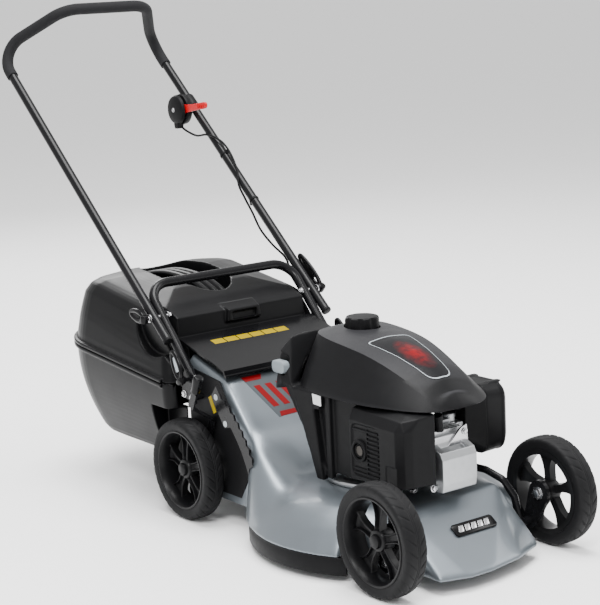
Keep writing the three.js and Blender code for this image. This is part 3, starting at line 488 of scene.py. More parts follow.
def moulded(name, solid, finish, body, stands_for, voxel, passes, free=None):
    """A moulded or cast piece: overlapping closed shapes fused and softened along their edges.

    free(x, y, z) gives how far a point may be softened, from 0 to 1."""
    obj = fused(name, solid, voxel)
    soften = modify(obj, "SMOOTH", factor=0.5, iterations=passes)
    if free:
        group = obj.vertex_groups.new(name="free")
        for vertex in obj.data.vertices:
            group.add([vertex.index], free(*(vertex.co / MM)), "REPLACE")
        soften.vertex_group = "free"
    bake(obj)
    obj.vertex_groups.clear()
    return settle(obj, finish, body, stands_for, sharp=60)


def cad_solid(node):
    """A CAD node's own mesh as points and faces in millimetres."""
    mesh = NODES[node].data
    bm = bmesh.new()
    bm.from_mesh(mesh)
    bmesh.ops.remove_doubles(bm, verts=bm.verts, dist=1e-6)
    bm.verts.index_update()
    solid = ([v.co / MM for v in bm.verts], [tuple(v.index for v in f.verts) for f in bm.faces])
    bm.free()
    return solid


def body_of(node):
    return next(name for name, nodes in frame["record"]["behaviour"]["bodies"].items() if node in nodes)


def recast(node, finish, voxel, passes, extra=(), free=None):
    """A CAD node's shape with softened edges, and anything moulded onto it."""
    solid = joined(cad_solid(node), *extra)
    return moulded(node + "_shell", solid, finish, body_of(node), (node,), voxel, passes, free)


def keep(node, finish, bevel):
    """A CAD node that stays as it is, with a finish and eased edges."""
    obj = NODES[node]
    if not obj.material_slots:
        obj.data.materials.append(None)
    for slot in obj.material_slots:
        slot.link = "DATA"
        slot.material = MATERIALS[finish]
    for polygon in obj.data.polygons:
        polygon.use_smooth = False
    modify(obj, "BEVEL", width=bevel * MM, segments=2, limit_method="ANGLE", angle_limit=math.radians(35))


def cling(name, rows, onto, direction, finish, body, lift):
    """A thin film of rows of points, dropped along a direction onto a piece."""
    depsgraph = bpy.context.evaluated_depsgraph_get()
    tree = BVHTree.FromObject(onto, depsgraph)
    aim = Vector(direction).normalized()
    settled = []
    for row in rows:
        for p in row:
            hit, normal, _, _ = tree.ray_cast(Vector(p) * MM, aim)
            if hit is None:
                raise ValueError(f"{name} misses its surface at {p}")
            if normal.dot(aim) > 0:
                normal = -normal
            settled.append((hit / MM, normal))
    width = len(rows[0])
    top = [hit + normal * lift for hit, normal in settled]
    under = [hit - normal * 0.3 for hit, normal in settled]
    count = len(settled)
    faces = []
    for r in range(len(rows) - 1):
        for c in range(width - 1):
            a, b, d, e = r * width + c, r * width + c + 1, (r + 1) * width + c + 1, (r + 1) * width + c
            faces += [(a, b, d, e), (count + e, count + d, count + b, count + a)]
    rim = list(range(width)) + [r * width + width - 1 for r in range(1, len(rows))]
    rim += [(len(rows) - 1) * width + c for c in range(width - 2, -1, -1)]
    rim += [r * width for r in range(len(rows) - 2, 0, -1)]
    faces += [(rim[i], rim[(i + 1) % len(rim)], count + rim[(i + 1) % len(rim)], count + rim[i])
              for i in range(len(rim))]
    return piece(name, (top + under, faces), finish, body, sharp=50)


def patch_rows(corners, down, across):
    """Rows of points over a four-cornered patch."""
    a, b, c, d = (Vector(p) for p in corners)
    return [[a.lerp(b, i / across).lerp(d.lerp(c, i / across), j / down) for i in range(across + 1)]
            for j in range(down + 1)]


def smoothstep(low, high, value):
    t = min(1.0, max(0.0, (value - low) / (high - low)))
    return t * t * (3 - 2 * t)


# ---------- wheels ----------
WHEEL = {"radius": 101.5, "tread_half": 17.0, "grooves": 30, "groove_depth": 1.3}
SPOKES = 5


def tyre_solid():
    """The tyre round the origin, outer side towards -X, with slanting grooves over tread and shoulders."""
    side = [(79.0, -19.5), (83.0, -20.8), (88.0, -22.0), (93.0, -22.4), (96.5, -21.2), (98.6, -19.0)]
    half = WHEEL["tread_half"]
    tread_x = [-half + 2 * half * i / 22 for i in range(23)]
    tread = [(WHEEL["radius"] - 1.9 * (abs(x) / half) ** 3, x) for x in tread_x]
    profile = side + tread + [(r, -x) for r, x in reversed(side)]
    sides = WHEEL["grooves"] * 14
    rings = []
    for i in range(sides):
        turn = i / sides
        ring = []
        for r, x in profile:
            phase = (turn * WHEEL["grooves"] + 0.05 * abs(x)) % 1.0
            groove = max(0.0, 1 - abs(phase - 0.5) / 0.1)
            reach = smoothstep(3.0, 6.0, abs(x)) * smoothstep(84.0, 92.0, r)
            band = 0.8 * max(0.0, 1 - abs(abs(x) - 1.8) / 1.2) if r > 98 else 0.0
            radius = r - WHEEL["groove_depth"] * min(1.0, 1.6 * groove) * reach - band
            angle = 2 * math.pi * turn
            ring.append(Vector((x, radius * math.cos(angle), radius * math.sin(angle))))
        rings.append(ring)
    return loft(rings, closed=True)


def spoke_solid():
    """One spoke up the Z axis: a trough between two ribs that spread apart towards the rim."""
    rings = []
    for k in range(17):
        r = 15 + 54.5 * k / 16
        flare = max(0.0, (r - 36) / 33.5)
        half = 8.8 + 12.0 * flare ** 2
        rib = 2.6
        face = -6.5 + 2.5 * smoothstep(15, 60, r)
        trough = face + 6.0 * smoothstep(17, 26, r) * (1 - 0.3 * smoothstep(60, 69, r))
        back = face + 15
        outline = [(face + 1.2, -half), (face, -half + 1.2), (face, -half + rib), (trough, -half + rib + 1.6),
                   (trough, half - rib - 1.6), (face, half - rib), (face, half - 1.2), (face + 1.2, half),
                   (back, half - 1.5), (back, -half + 1.5)]
        sag = math.sqrt(max(0.0, 1 - (half / 72) ** 2))
        rings.append([(x, w, r * (1 if k < 16 else sag + 0.02)) for x, w in outline])
    return loft(rings)


def rim_solid():
    ring = [(79.0, -20.5), (77.4, -21.3), (75.2, -20.8), (73.8, -18.5), (71.4, -14), (69.2, -4), (68.4, 8),
            (69.5, 20.5), (79.0, 20.5)]
    hub = [(8.5, 18), (19, 18), (21.5, 2), (20.8, -5), (18.5, -8.5), (15, -9.8), (8.5, -10)]
    cap = [(0.01, -17.5), (8, -17.3), (12.0, -15.5), (13.2, -12), (13.2, -9), (0.01, -9)]
    bead_ring = lathe(ring, (0, 0, 0), "x")
    hub_ring = lathe(hub, (0, 0, 0), "x", 48)
    cap_disc = lathe(cap, (0, 0, 0), "x", 40)
    spokes = [moved(spoke_solid(), Matrix.Rotation(2 * math.pi * i / SPOKES, 4, "X")) for i in range(SPOKES)]
    nut = cross_rod(-10.6, -7, (0, 0, 9.5), 1.6, 10)
    nuts = [moved(nut, Matrix.Rotation(2 * math.pi * (i + 0.5) / SPOKES, 4, "X")) for i in range(SPOKES)]
    return joined(bead_ring, hub_ring, cap_disc, *spokes, *nuts)


def make_wheels():
    tyre, rim = tyre_solid(), rim_solid()
    for end in ("front", "rear"):
        for side, sign in SIDES:
            wheel = f"wheel_{end}_{side}"
            place = Matrix.Translation(pivot(f"{wheel}_roll"))
            for part, solid, finish in (("tyre", tyre, "tyre"), ("rim", rim, "rim")):
                facing = mirrored(solid) if sign > 0 else solid
                piece(f"{wheel}_{part}_detail", moved(facing, place), finish, wheel,
                      (f"{wheel}_{part}",), sharp=28 if part == "rim" else 40)


# ---------- handle ----------
FOLD = pivot("handle_fold")
FOOT = pivot("lower_handle_tilt")
LEG = Vector((0, 0.7513, 0.66))
OVER = Vector((0, -0.66, 0.7513))
TUBE = {"r": 9.8, "upper_x": 198.5, "lower_x": 178.3, "top_y": 567, "top_z": 1003, "top_x": 104,
        "end": -64, "sleeve": 712, "bend": 794}


def on_leg(x, t, h=0.0):
    """A point on the upper leg, t up from the fold and h above its centre line."""
    return Vector((x, FOLD.y, FOLD.z)) + LEG * t + OVER * h


def loop_path(start):
    """The upper handle's centre line, from start up one leg, round the top and down the other."""
    x = TUBE["upper_x"]
    top = [(-TUBE["top_x"], TUBE["top_y"], TUBE["top_z"]), (TUBE["top_x"], TUBE["top_y"], TUBE["top_z"])]
    bend = TUBE["bend"]
    path = [on_leg(-x, start), on_leg(-x, bend), *top, on_leg(x, bend), on_leg(x, start)]
    return bent(path, [50, 60, 60, 50], 12)


def round_leg(solid, t):
    """A solid made round the Z axis, set round the left upper leg t up from the fold."""
    lean = Vector((0, 0, 1)).rotation_difference(LEG).to_matrix().to_4x4()
    return moved(solid, Matrix.Translation(on_leg(TUBE["upper_x"], t)) @ lean)


def make_handle():
    piece("upper_tube", sweep(loop_path(TUBE["end"]), TUBE["r"], 32), "tube", "upper_handle",
          ("upper_handle",), sharp=50)
    under = loop_path(TUBE["sleeve"])
    first, last = under[0].lerp(under[1], 0.03), under[-1].lerp(under[-2], 0.03)
    under = [under[0], first, *under[1:-1], last, under[-1]]
    foam, eased = 12.5, 11.6
    thickness = [eased] + [foam] * (len(under) - 2) + [eased]
    piece("foam_sleeve", sweep(under, thickness, 32), "foam", "upper_handle", ("foam_grip",),
          sharp=60)
    x = TUBE["lower_x"]
    y, z = 170, 449
    run = ((Vector((0, y, z)) - FOOT) * Vector((0, 1, 1))).normalized()
    foot = FOOT - run * 18
    path = bent([(-x, foot.y, foot.z), (-x, y, z), (x, y, z), (x, foot.y, foot.z)], 46, 12)
    piece("lower_tube", sweep(path, TUBE["r"], 32), "tube", "lower_handle", ("lower_handle",),
          sharp=50)
    for side, s in SIDES:
        bolt = joined(cross_rod(s * 161, s * 213, FOLD, 4),
                      hex_head((s * 168.2, FOLD.y, FOLD.z), (-s, 0, 0), 7.0, 6.8),
                      cross_rod(s * 208.4, s * 211, FOLD, 8.5))
        piece(f"fold_bolt_{side}_detail", bolt, "steel", "lower_handle",
              (f"fold_bolt_{side}",), bevel=0.3)
        for where, at, along in (("upper", on_leg(s * TUBE["upper_x"], TUBE["end"] + 1), LEG),
                                 ("lower", Vector((s * x, foot.y, foot.z)), run)):
            plug = pill(at - along * 2.2, at + along * 5, TUBE["r"] + 0.7, 2)
            piece(f"{where}_tube_plug_{side}", plug, "black", f"{where}_handle")


def lever_solids(base, degrees, length, half):
    """A cam lever: a barrel across the bolt with an open oval loop, and the plate set inside the loop."""
    turn = math.radians(degrees)
    out = Vector((1, 0, 0))
    along = Vector((0, math.cos(turn), math.sin(turn)))
    across = Vector((0, -math.sin(turn), math.cos(turn)))
    barrel = pill(base + out * 9.5 - across * 8, base + out * 9.5 + across * 8, 8.5)
    loop = []
    for k in range(41):
        angle = math.pi * (2 * k / 40 - 1)
        reach = (1 + math.cos(angle)) / 2
        loop.append(base + out * (10 - 1.5 * reach) + along * (4 + (length - 8) * reach)
                    + across * half * math.sin(angle) * (1.15 - 0.3 * reach))
    edge = [base + along * (length * a) + across * half * b for a, b in
            ((0.3, -0.75), (0.62, -0.8), (0.78, -0.45), (0.78, 0.45), (0.62, 0.8), (0.3, 0.75))]
    plate = loft([[p + out * thick for p in edge] for thick in (6.5, 10.5)])
    return joined(barrel, sweep(loop, 4.2, 16, flat=1.25)), plate


def make_levers():
    # The foot levers' pads are pale grey, a painted highlight that stands for the glossy section of their
    # black loop.
    foot = (197.3, FOOT, 62, 64, 11, "pale")
    for name, x, at, degrees, length, half, finish in (
            ("fold_lever_left", 212.3, FOLD, 41.3, 98, 9, "black"),
            ("fold_lever_right", 212.3, FOLD, 8, 56, 9, "black"),
            ("foot_lever_left", *foot), ("foot_lever_right", *foot)):
        lever, pad = lever_solids(Vector((x, at.y, at.z)), degrees, length, half)
        if name.endswith("right"):
            lever, pad = mirrored(lever), mirrored(pad)
        piece(name + "_detail", lever, "gloss", name, (name,), bevel=0.5, sharp=40)
        piece(name + "_pad", pad, finish, name, bevel=0.8)
    for side, s in SIDES:
        keep(f"handle_bracket_{side}", "tube", 0.8)
        heads = [hex_head((s * 192.6, y, z), (s, 0, 0), 6.0, 4.5) for y, z in ((0, 246), (27, 250))]
        piece(f"bracket_bolts_{side}", joined(*heads), "steel", "chassis", bevel=0.3)


def make_throttle():
    at = pivot("throttle")
    low, high = lows("throttle_housing").x, highs("throttle_housing").x
    inner = [(0.01, -1.5), (10, -1.5), (26, 0), (31, 2.5), (33.5, 7), (34.0, 8.6), (0.01, 8.6)]
    outer = [(0.01, 15.6), (34.4, 15.6), (35.5, 20), (34, high - low), (0.01, high - low)]
    nose = [(24, -24), (31, -14), (33, 10), (24, 24), (12, 31), (6, 20), (14, -20)]
    cable_boss = [(-9, -31), (9, -31), (-6, -43), (6, -43)]
    body = joined(lathe(inner, (low, at.y, at.z), "x"), lathe(outer, (low, at.y, at.z), "x"),
                  cross_rod(low + 4, high - 2, at, 9),
                  *[convex([(low + dx, at.y + dy, at.z + dz) for dx in width for dy, dz in edge])
                    for width, edge in (((8, 16), nose), ((3, 19), cable_boss))])
    clamp = lathe([(9.9, -16), (13.2, -16), (14, -13), (14, 13), (13.2, 16), (9.9, 16)], (0, 0, 0), "z", 48)
    clamp = round_leg(clamp, (at.y - FOLD.y) * LEG.y + (at.z - FOLD.z) * LEG.z)
    piece("throttle_case", joined(body, clamp), "black", "upper_handle",
          ("throttle_housing",), bevel=0.5)
    piece("throttle_screw", hex_head((low - 1.2, at.y, at.z), (-1, 0, 0), 4.2, 2.6), "steel", "upper_handle",
          bevel=0.2)
    x0, x1 = lows("throttle_lever").x + 0.3, highs("throttle_lever").x - 0.3
    stations = [(9, 10, -10), (-2, 12.5, -12), (-30, 12, -6), (-60, 14.2, -1.2), (-88, 18, 3.2),
                (-104, 20.6, 4.8), (-112, 20.2, 6.5), (-116.2, 16.5, 10.5)]
    blade = loft([[(x, at.y + y, at.z + h) for x, h in ((x0, up), (x1, up), (x1, down), (x0, down))]
                  for y, up, down in stations])
    ribs = [rod((x0 - 0.8, y, at.z + 6), (x0 - 0.8, y, at.z + 16), 1.3, sides=12)
            for y in (at.y - 84, at.y - 91, at.y - 98, at.y - 105)]
    piece("throttle_lever_detail", joined(blade, *ribs), "red", "throttle_lever",
          ("throttle_lever",), bevel=1.2)


CABLE_R = 2.5


def make_cables():
    at = pivot("throttle")
    x = TUBE["upper_x"]
    knots = [(175, at.y, at.z - 37), on_leg(178, 535, -42), on_leg(182, 502, -26), on_leg(184, 478, 0),
             on_leg(189, 455, 14), on_leg(x, 430, 17.5), on_leg(x, 394, 18.5), on_leg(193, 350, 13),
             on_leg(185, 318, 0), on_leg(191, 290, -14), on_leg(x, 255, -28), on_leg(x, 210, -36),
             on_leg(x, 160, -30), on_leg(197, 112, -16), on_leg(192.7, 87, -15), on_leg(184.5, 70, -16),
             on_leg(183, 20, -18), (183, 99, 352), (184, 72, 322), (190, 60, 314), (195.5, 44, 312),
             (195.5, -20, 309), (186, -100, 300), (150, -165, 285), (118, -230, 274), (100, -320, 266),
             (78, -410, 264), (68, -464, 255.5)]
    per = 6
    path = smooth_path(knots, per)
    # One cable in four lengths: two ride on one body each, and the two that cross a joint are plain objects
    # on no body.
    for name, first, last, body, far_body, far in (
            ("cable_upper", 0, 13, "upper_handle", None, None),
            ("cable_at_fold", 13, 17, "lower_handle", "upper_handle", 15),
            ("cable_at_foot", 17, 21, "chassis", "lower_handle", 17),
            ("cable_lower", 21, 27, "chassis", None, None)):
        solid = sweep(path[first * per:last * per + 1], CABLE_R, 16)
        if not far_body:
            piece(name, solid, "black", body, ("throttle_" + name,), sharp=60)
            continue
        obj = bare(name, solid)
        mark_sharp(obj.data, 60)
        obj.data.materials.append(MATERIALS["black"])
        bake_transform(obj)
    ties = []
    for t, h in ((410, 11.7), (268, -11.7)):
        ring = lathe([(9.9, -2.5), (11.2, -2.5), (11.2, 2.5), (9.9, 2.5)], (0, 0, 0), "z", 40)
        knot, half = on_leg(x, t, h), Vector((4, 4, 4))
        ties += [round_leg(ring, t), block(knot - half, knot + half)]
    piece("cable_ties", joined(*ties), "black", "upper_handle", bevel=0.5)


# ---------- deck ----------
def make_deck():
    crank = pivot("cutter_spin")
    rim, skirt_radius = 46, 255

    def free(x, y, z):
        if y < -560:
            return 0.2 + 0.2 * smoothstep(50, 90, z)
        hump = smoothstep(-430, -350, y) * (1 - smoothstep(-80, -40, y))
        return smoothstep(rim + 3, rim + 34, z) * (0.3 + 0.7 * hump)

    # A web on each side thickens the wall where the softening would wear it through.
    web = [(y, z) for y, top in ((-258, 130), (-216, 151)) for z in (top, top - 7)]
    webs = [convex([(s * x, y, z) for x in (129, 155) for y, z in web]) for _, s in SIDES]
    deck = recast("deck_shell", "deck", voxel=2.8, passes=240, extra=webs, free=free)
    for side, s in SIDES:
        low, high = lows(f"deck_skirt_{side}"), highs(f"deck_skirt_{side}")
        start, end = (math.degrees(math.asin((y - crank.y) / skirt_radius)) for y in (low.y, high.y))
        span = (start, end) if s > 0 else (180 - end, 180 - start)
        profile = [(252.9, low.z + 1.5), (253.6, low.z), (256.4, low.z), (257, low.z + 1.5), (257, rim - 5),
                   (256.2, rim - 3.4), (256.2, rim - 0.4), (252.9, rim - 0.4)]
        skirt = lathe(profile, (0, crank.y, 0), "z", 72, span)
        piece(f"skirt_{side}", skirt, "black", "chassis", (f"deck_skirt_{side}",), sharp=40)
    return deck


def make_deck_trim(deck):
    panel = [(-130, -72, 400), (30, -72, 400), (30, -132, 400), (-84, -142, 400)]
    down = (0, 0, -1)
    cling("hump_panel", patch_rows(panel, 24, 24), deck, down, "grey_film", "chassis", 0.35)
    stripes = [[(-126, -75), (-78, -75), (-84, -84), (-121, -84)]]
    stripes += [[(x, -92), (x + 14, -92), (x + 36, -126), (x + 22, -126)] for x in (-108, -82, -56, -30)]
    stripes.append([(-78, -134), (-20, -134), (-14, -140), (-80, -141)])
    for i, outline in enumerate(stripes):
        rows = patch_rows([(x, y, 400) for x, y in outline], 12, 10)
        cling(f"hump_stripe_{i}", rows, deck, down, "red_film", "chassis", 0.7)
    for side, s in SIDES:
        edge = [(-96, 236), (-140, 176), (-150, 110), (-120, 62), (46, 62), (46, 300), (-66, 286)]
        plate = slab(edge, s * 167.6, s * 169.2)
        piece(f"tail_panel_{side}", plate, "black", "chassis", sharp=20)
    badge = lows("deck_badge").lerp(highs("deck_badge"), 0.5)
    tilt = Matrix.Translation(badge) @ Matrix.Rotation(math.radians(35), 4, "X")
    edge = [(-48, -9), (-44, -13), (44, -13), (48, -9), (48, 9), (44, 13), (-44, 13), (-48, 9)]
    plate = loft([[(x, y, z) for x, y in edge] for z in (-1.5, 1.5)])
    piece("badge_plate", moved(plate, tilt), "gloss", "chassis", ("deck_badge",), bevel=0.7)
    bars = [block((x, -6.5, 1.2), (x + 11, 6.5, 2.4)) for x in range(-37, 30, 15)]
    slant = Matrix(((1, 0.45, 0, 0), (0, 1, 0, 0), (0, 0, 1, 0), (0, 0, 0, 1)))
    piece("badge_bars", moved(joined(*bars), tilt @ slant), "steel", "chassis", bevel=0.4)


# ---------- running gear ----------
def make_running_gear():
    front = pivot("front_height_left")
    bar = [(-177, front.y, front.z), (-146, front.y, front.z), (-146, front.y + 14, 92), (-133, -537, 124),
           (-124, -500, 137.5), (-121, -471, 137.5)]
    path = bent(bar + [(-x, y, z) for x, y, z in reversed(bar)], [9, 14, 14, 16, 9, 9, 16, 14, 14, 9], 8)
    piece("front_bar", sweep(path, 7, 28, up=(0, 0, 1)), "tube", "chassis",
          ("front_axle_bar",), sharp=50)
    for side, s in SIDES:
        keep(f"front_arm_{side}", "tube", 1.2)
        joint = pivot(f"front_height_{side}")
        axle = pivot(f"wheel_front_{side}_roll")
        nuts = joined(hex_head((s * 177.5, joint.y, joint.z), (s, 0, 0), 6.5, 2.2),
                      hex_head((s * 169.5, axle.y, axle.z), (-s, 0, 0), 9.5, 7.5))
        piece(f"front_arm_nuts_{side}", nuts, "steel", f"front_arm_{side}", bevel=0.3)
        washer = cross_rod(s * 178, s * 180.5, axle, 12)
        piece(f"front_washer_{side}", washer, "steel", f"front_arm_{side}", bevel=0.3)
    keep("rear_axle", "tube", 0.8)
    keep("height_quadrant", "tube", 0.6)
    low, high = lows("height_lever_grip"), highs("height_lever_grip")
    axis_x = 0.5 * (low.x + high.x)
    rear = pivot("cutting_height")
    lean = math.radians(117)
    ends = [Vector((axis_x, rear.y + r * math.cos(lean), rear.z + r * math.sin(lean))) for r in (262, 300)]
    swell = [(0, 8.0), (0.1, 9.6), (0.4, 9.0), (0.75, 10.8), (0.95, 10.0), (1, 7.0)]
    solid = sweep([ends[0].lerp(ends[1], t) for t, _ in swell], [r for _, r in swell], 28)
    piece("height_knob", solid, "gloss", "rear_axle_assembly", ("height_lever_grip",),
          bevel=0.5)
    face_x = lows("height_quadrant").x
    dots = [cross_rod(face_x - 0.5, face_x + 1, at, 6.2) for at in ((0, -84, 262), (0, -112, 214))]
    piece("quadrant_dots", joined(*dots), "pale", "chassis", bevel=0.2)
    tag = block((face_x - 0.7, -76, 228), (face_x + 0.5, -66, 262))
    tag = moved(tag, Matrix.Translation(Vector((0, -71, 245))) @ Matrix.Rotation(math.radians(-28), 4, "X")
                @ Matrix.Translation(Vector((0, 71, -245))))
    piece("quadrant_tag", tag, "yellow", "chassis", bevel=0.2)


# ---------- engine ----------
# The cowl's near half from the rear centre to the front centre: its lower edge, and the crease round its top.
COWL_EDGE = [(0, -238, 300), (-60, -236, 300), (-103, -243, 300), (-120, -270, 299), (-127, -310, 298),
             (-129, -360, 298), (-127, -410, 298), (-121, -460, 298), (-110, -500, 298), (-94, -535, 297),
             (-74, -561, 296), (-51, -576, 295), (-26, -580, 294.5), (0, -582, 294)]
COWL_CREASE = [(0, -247, 399), (-38, -246, 398), (-61, -250, 395.5), (-76, -272, 394), (-82, -310, 390),
               (-82, -360, 384), (-78, -405, 376), (-72, -450, 363), (-66, -492, 347), (-60, -526, 331),
               (-55, -550, 317), (-50, -572, 299), (-26, -578, 298), (0, -580, 298)]
COWL_SPINE = [(-240, 401), (-290, 400), (-350, 396), (-400, 389), (-450, 377), (-500, 358), (-535, 338),
              (-560, 317), (-580, 298)]


def along_spine(y):
    for (y0, z0), (y1, z1) in zip(COWL_SPINE, COWL_SPINE[1:]):
        if y >= y1:
            return z0 + (z1 - z0) * (y0 - min(y, y0)) / (y0 - y1)
    return COWL_SPINE[-1][1]


def both_sides(half):
    near = smooth_path(half, 5)
    return near + [Vector((-p.x, p.y, p.z)) for p in near[-2:0:-1]]


def skin(name, rings, thick, cuts):
    """An open surface through rings of points, thickened inwards and cut."""
    points, faces = loft(rings)
    obj = bare(name, (points, faces[:-2]))
    modify(obj, "WELD", merge_threshold=0.02 * MM)
    modify(obj, "SOLIDIFY", thickness=thick * MM, offset=-1)
    bake(obj)
    return carved(name, taken(obj), cuts)


def make_cowl():
    edge, crease = both_sides(COWL_EDGE), both_sides(COWL_CREASE)
    spine_rear, spine_front = -262, -556
    side_curve, top_curve = 1.1, 1.6
    rings = []
    for k in range(11):
        u = k / 10
        lean = u ** side_curve
        rings.append([(b.x + (c.x - b.x) * lean, b.y + (c.y - b.y) * lean, b.z + (c.z - b.z) * u)
                      for b, c in zip(edge, crease)])
    for k in range(1, 9):
        v = k / 8
        ring = []
        for c in crease:
            y = min(spine_rear, max(spine_front, c.y))
            top = along_spine(y)
            ring.append((c.x * (1 - v), c.y + (y - c.y) * v, c.z + (top - c.z) * (1 - (1 - v) ** top_curve)))
        rings.append(ring)
    cap = lows("fuel_cap").lerp(highs("fuel_cap"), 0.5)
    neck = rod((cap.x, cap.y, 330), (cap.x, cap.y, 430), 35, sides=64)
    shape = skin("cowl_skin", rings, 3, [neck])
    return piece("cowl_detail", shape, "cowl", "chassis", ("engine_cowl",), sharp=20)


def make_muffler_cover():
    x, front = lows("muffler_cover").xy
    rear = highs("muffler_cover").y
    body = convex([(x + dx, y, z) for y, edge in (
        (front, ((24, 166), (24, 270), (40, 288), (76, 162), (76, 290))), (front + 5, ((9, 166), (9, 268))),
        (front + 20, ((0, 166), (0, 268))), (front + 14, ((10, 284),)),
        (rear, ((0, 158), (0, 270), (10, 289), (76, 154), (76, 296), (30, 296))), (front + 24, ((30, 292),)))
        for dx, z in edge])
    recess = box_loft([(at, (-504, 168), (-426, 264), 12) for at in (x - 5, x + 3)])
    step = box_loft([(at, (-556, 150), (-520, 204), 6) for at in (x - 5, x + 1.2)])
    moulded("muffler_cover_shell", carved("muffler_body", body, [recess, step]), "black", "chassis",
            ("muffler_cover",), voxel=1.3, passes=5)
    bars = [pill((x + 1.8, -500, z), (x + 1.8, -430 if z < 185 or z > 246 else -468, z), 2.1, 1.0, 14)
            for z in range(174, 262, 8)]
    bars.append(pill((x + 2.2, -468, 172), (x + 2.2, -468, 258), 1.6, 1.0, 12))
    piece("muffler_slats", joined(*bars), "black", "chassis", sharp=50)
    centre = (0, -447, 215)
    ring = [(15, x - 1.5), (17, x - 2.5), (20, x - 1.5), (20.5, x + 3), (15, x + 3)]
    inner = [(9, x + 0.2), (10.6, x - 1), (12, x + 0.2), (12, x + 3.2), (9, x + 3.2)]
    rings = joined(lathe(ring, centre, "x", 56), lathe(inner, centre, "x", 48))
    piece("muffler_ring", rings, "black", "chassis", sharp=40)
    piece("muffler_outlet", cross_rod(x + 0.8, x + 3.2, centre, 9.6), "soot", "chassis")


def make_air_cleaner():
    case = box_loft([(86, (-490, 192), (-402, 284), 14), (104, (-496, 180), (-398, 290), 18),
                     (128, (-503, 164), (-392, 295.5), 22)])
    moulded("air_case", case, "black", "chassis", ("air_cleaner_case",),
            voxel=1.8, passes=3)
    wall = box_loft([(128.6, (-502, 164), (-392, 296), 24), (172, (-501.5, 164), (-390.5, 295), 27)])
    rim = box_loft([(x, (-502.5, 163), (-389.5, 296.6), 28) for x in (169, 175)])
    hollow = box_loft([(120, (-499, 167), (-394.5, 292.5), 22), (174, (-497, 169), (-394, 291), 24),
                       (186, (-486, 180), (-405, 280), 20)])
    lid = box_loft([(174, (-501, 164.5), (-391, 294.5), 28), (183, (-495, 170), (-394, 291), 26),
                    (190, (-487, 178), (-400, 284), 24), (193, (-474, 190), (-412, 272), 18)])
    clips = [block((150, y, 293), (182, y + 12, 296.9)) for y in (-486, -424)]
    form = taken(fused("air_cover_form", joined(wall, rim, lid, *clips), 1.6))
    cover = carved("air_cover_wall", form, [hollow])
    moulded("air_cover", cover, "black", "air_cleaner_cover", ("air_cleaner_cover",),
            voxel=1.5, passes=3)


def make_head():
    y = lows("head_cover").y
    crown = [(3, 142), (0, 158), (0, 202), (6, 214), (31, 225), (32, 140)]
    body = convex([(x, y + dy, z) for x in (-40, 40) for dy, z in crown]
                  + [(x, y + 31, z) for x in (-45, 45) for z in (146, 220)])
    hollow = [(26, 9, 208), (26, 27, 217), (30, 5, 250), (30, 40, 250)]
    dish = convex([(s * x, y + dy, z) for x, dy, z in hollow for s in (1, -1)])
    moulded("head_shell", carved("head_body", body, [dish]), "cast", "chassis",
            ("head_cover",), voxel=1.1, passes=3)
    foot = [(-6, 26, 216), (44, 26, 216), (40, 30, 216), (-6, 30, 216)]
    top = [(28, 26, 246), (41, 26, 250), (28, 30, 246), (41, 30, 250)]
    hook = joined(convex([(x, y + dy, z) for x, dy, z in foot + top]),
                  hex_head((35, y + 25, 238), (0, -1, 0), 5, 4),
                  hex_head((-46, y + 20, 150), (0, -1, 0), 6, 5),
                  hex_head((-58, y + 62, 141), (-0.5, -0.5, 0.7), 6, 5))
    piece("head_bracket", hook, "steel", "chassis", bevel=0.5)


def make_engine():
    cowl = make_cowl()
    shroud = [(-428, 150), (-428, 301), (-262, 301), (-262, 262), (-300, 150)]
    lip = [(-336, 299), (-252, 301), (-252, 262), (-326, 268)]
    strut = [(-352, 140), (-338, 140), (-352, 300), (-338, 300)]
    added = [convex([(x, y, z) for x in width for y, z in edge])
             for width, edge in (((-112, -60), shroud), ((-126, -90), lip), ((-121, -110), strut))]
    wide_leg = convex([(-131, -252, 300), (-128, -306, 300), (-118, -252, 300), (-118, -306, 300),
                       (-126, -312, 134), (-126, -330, 134), (-112, -312, 134), (-112, -330, 134)])
    recast("recoil_housing", "black", voxel=1.8, passes=6, extra=(*added, wide_leg))
    label = slab([(-284, 297), (-334, 295), (-334, 276), (-284, 278)], -126.6, -125.6)
    piece("shroud_label", label, "white", "chassis")
    make_muffler_cover()
    make_head()
    make_air_cleaner()
    recast("crankcase", "cast", voxel=2.0, passes=3)
    recast("carburettor", "cast", voxel=1.6, passes=3)
    return cowl


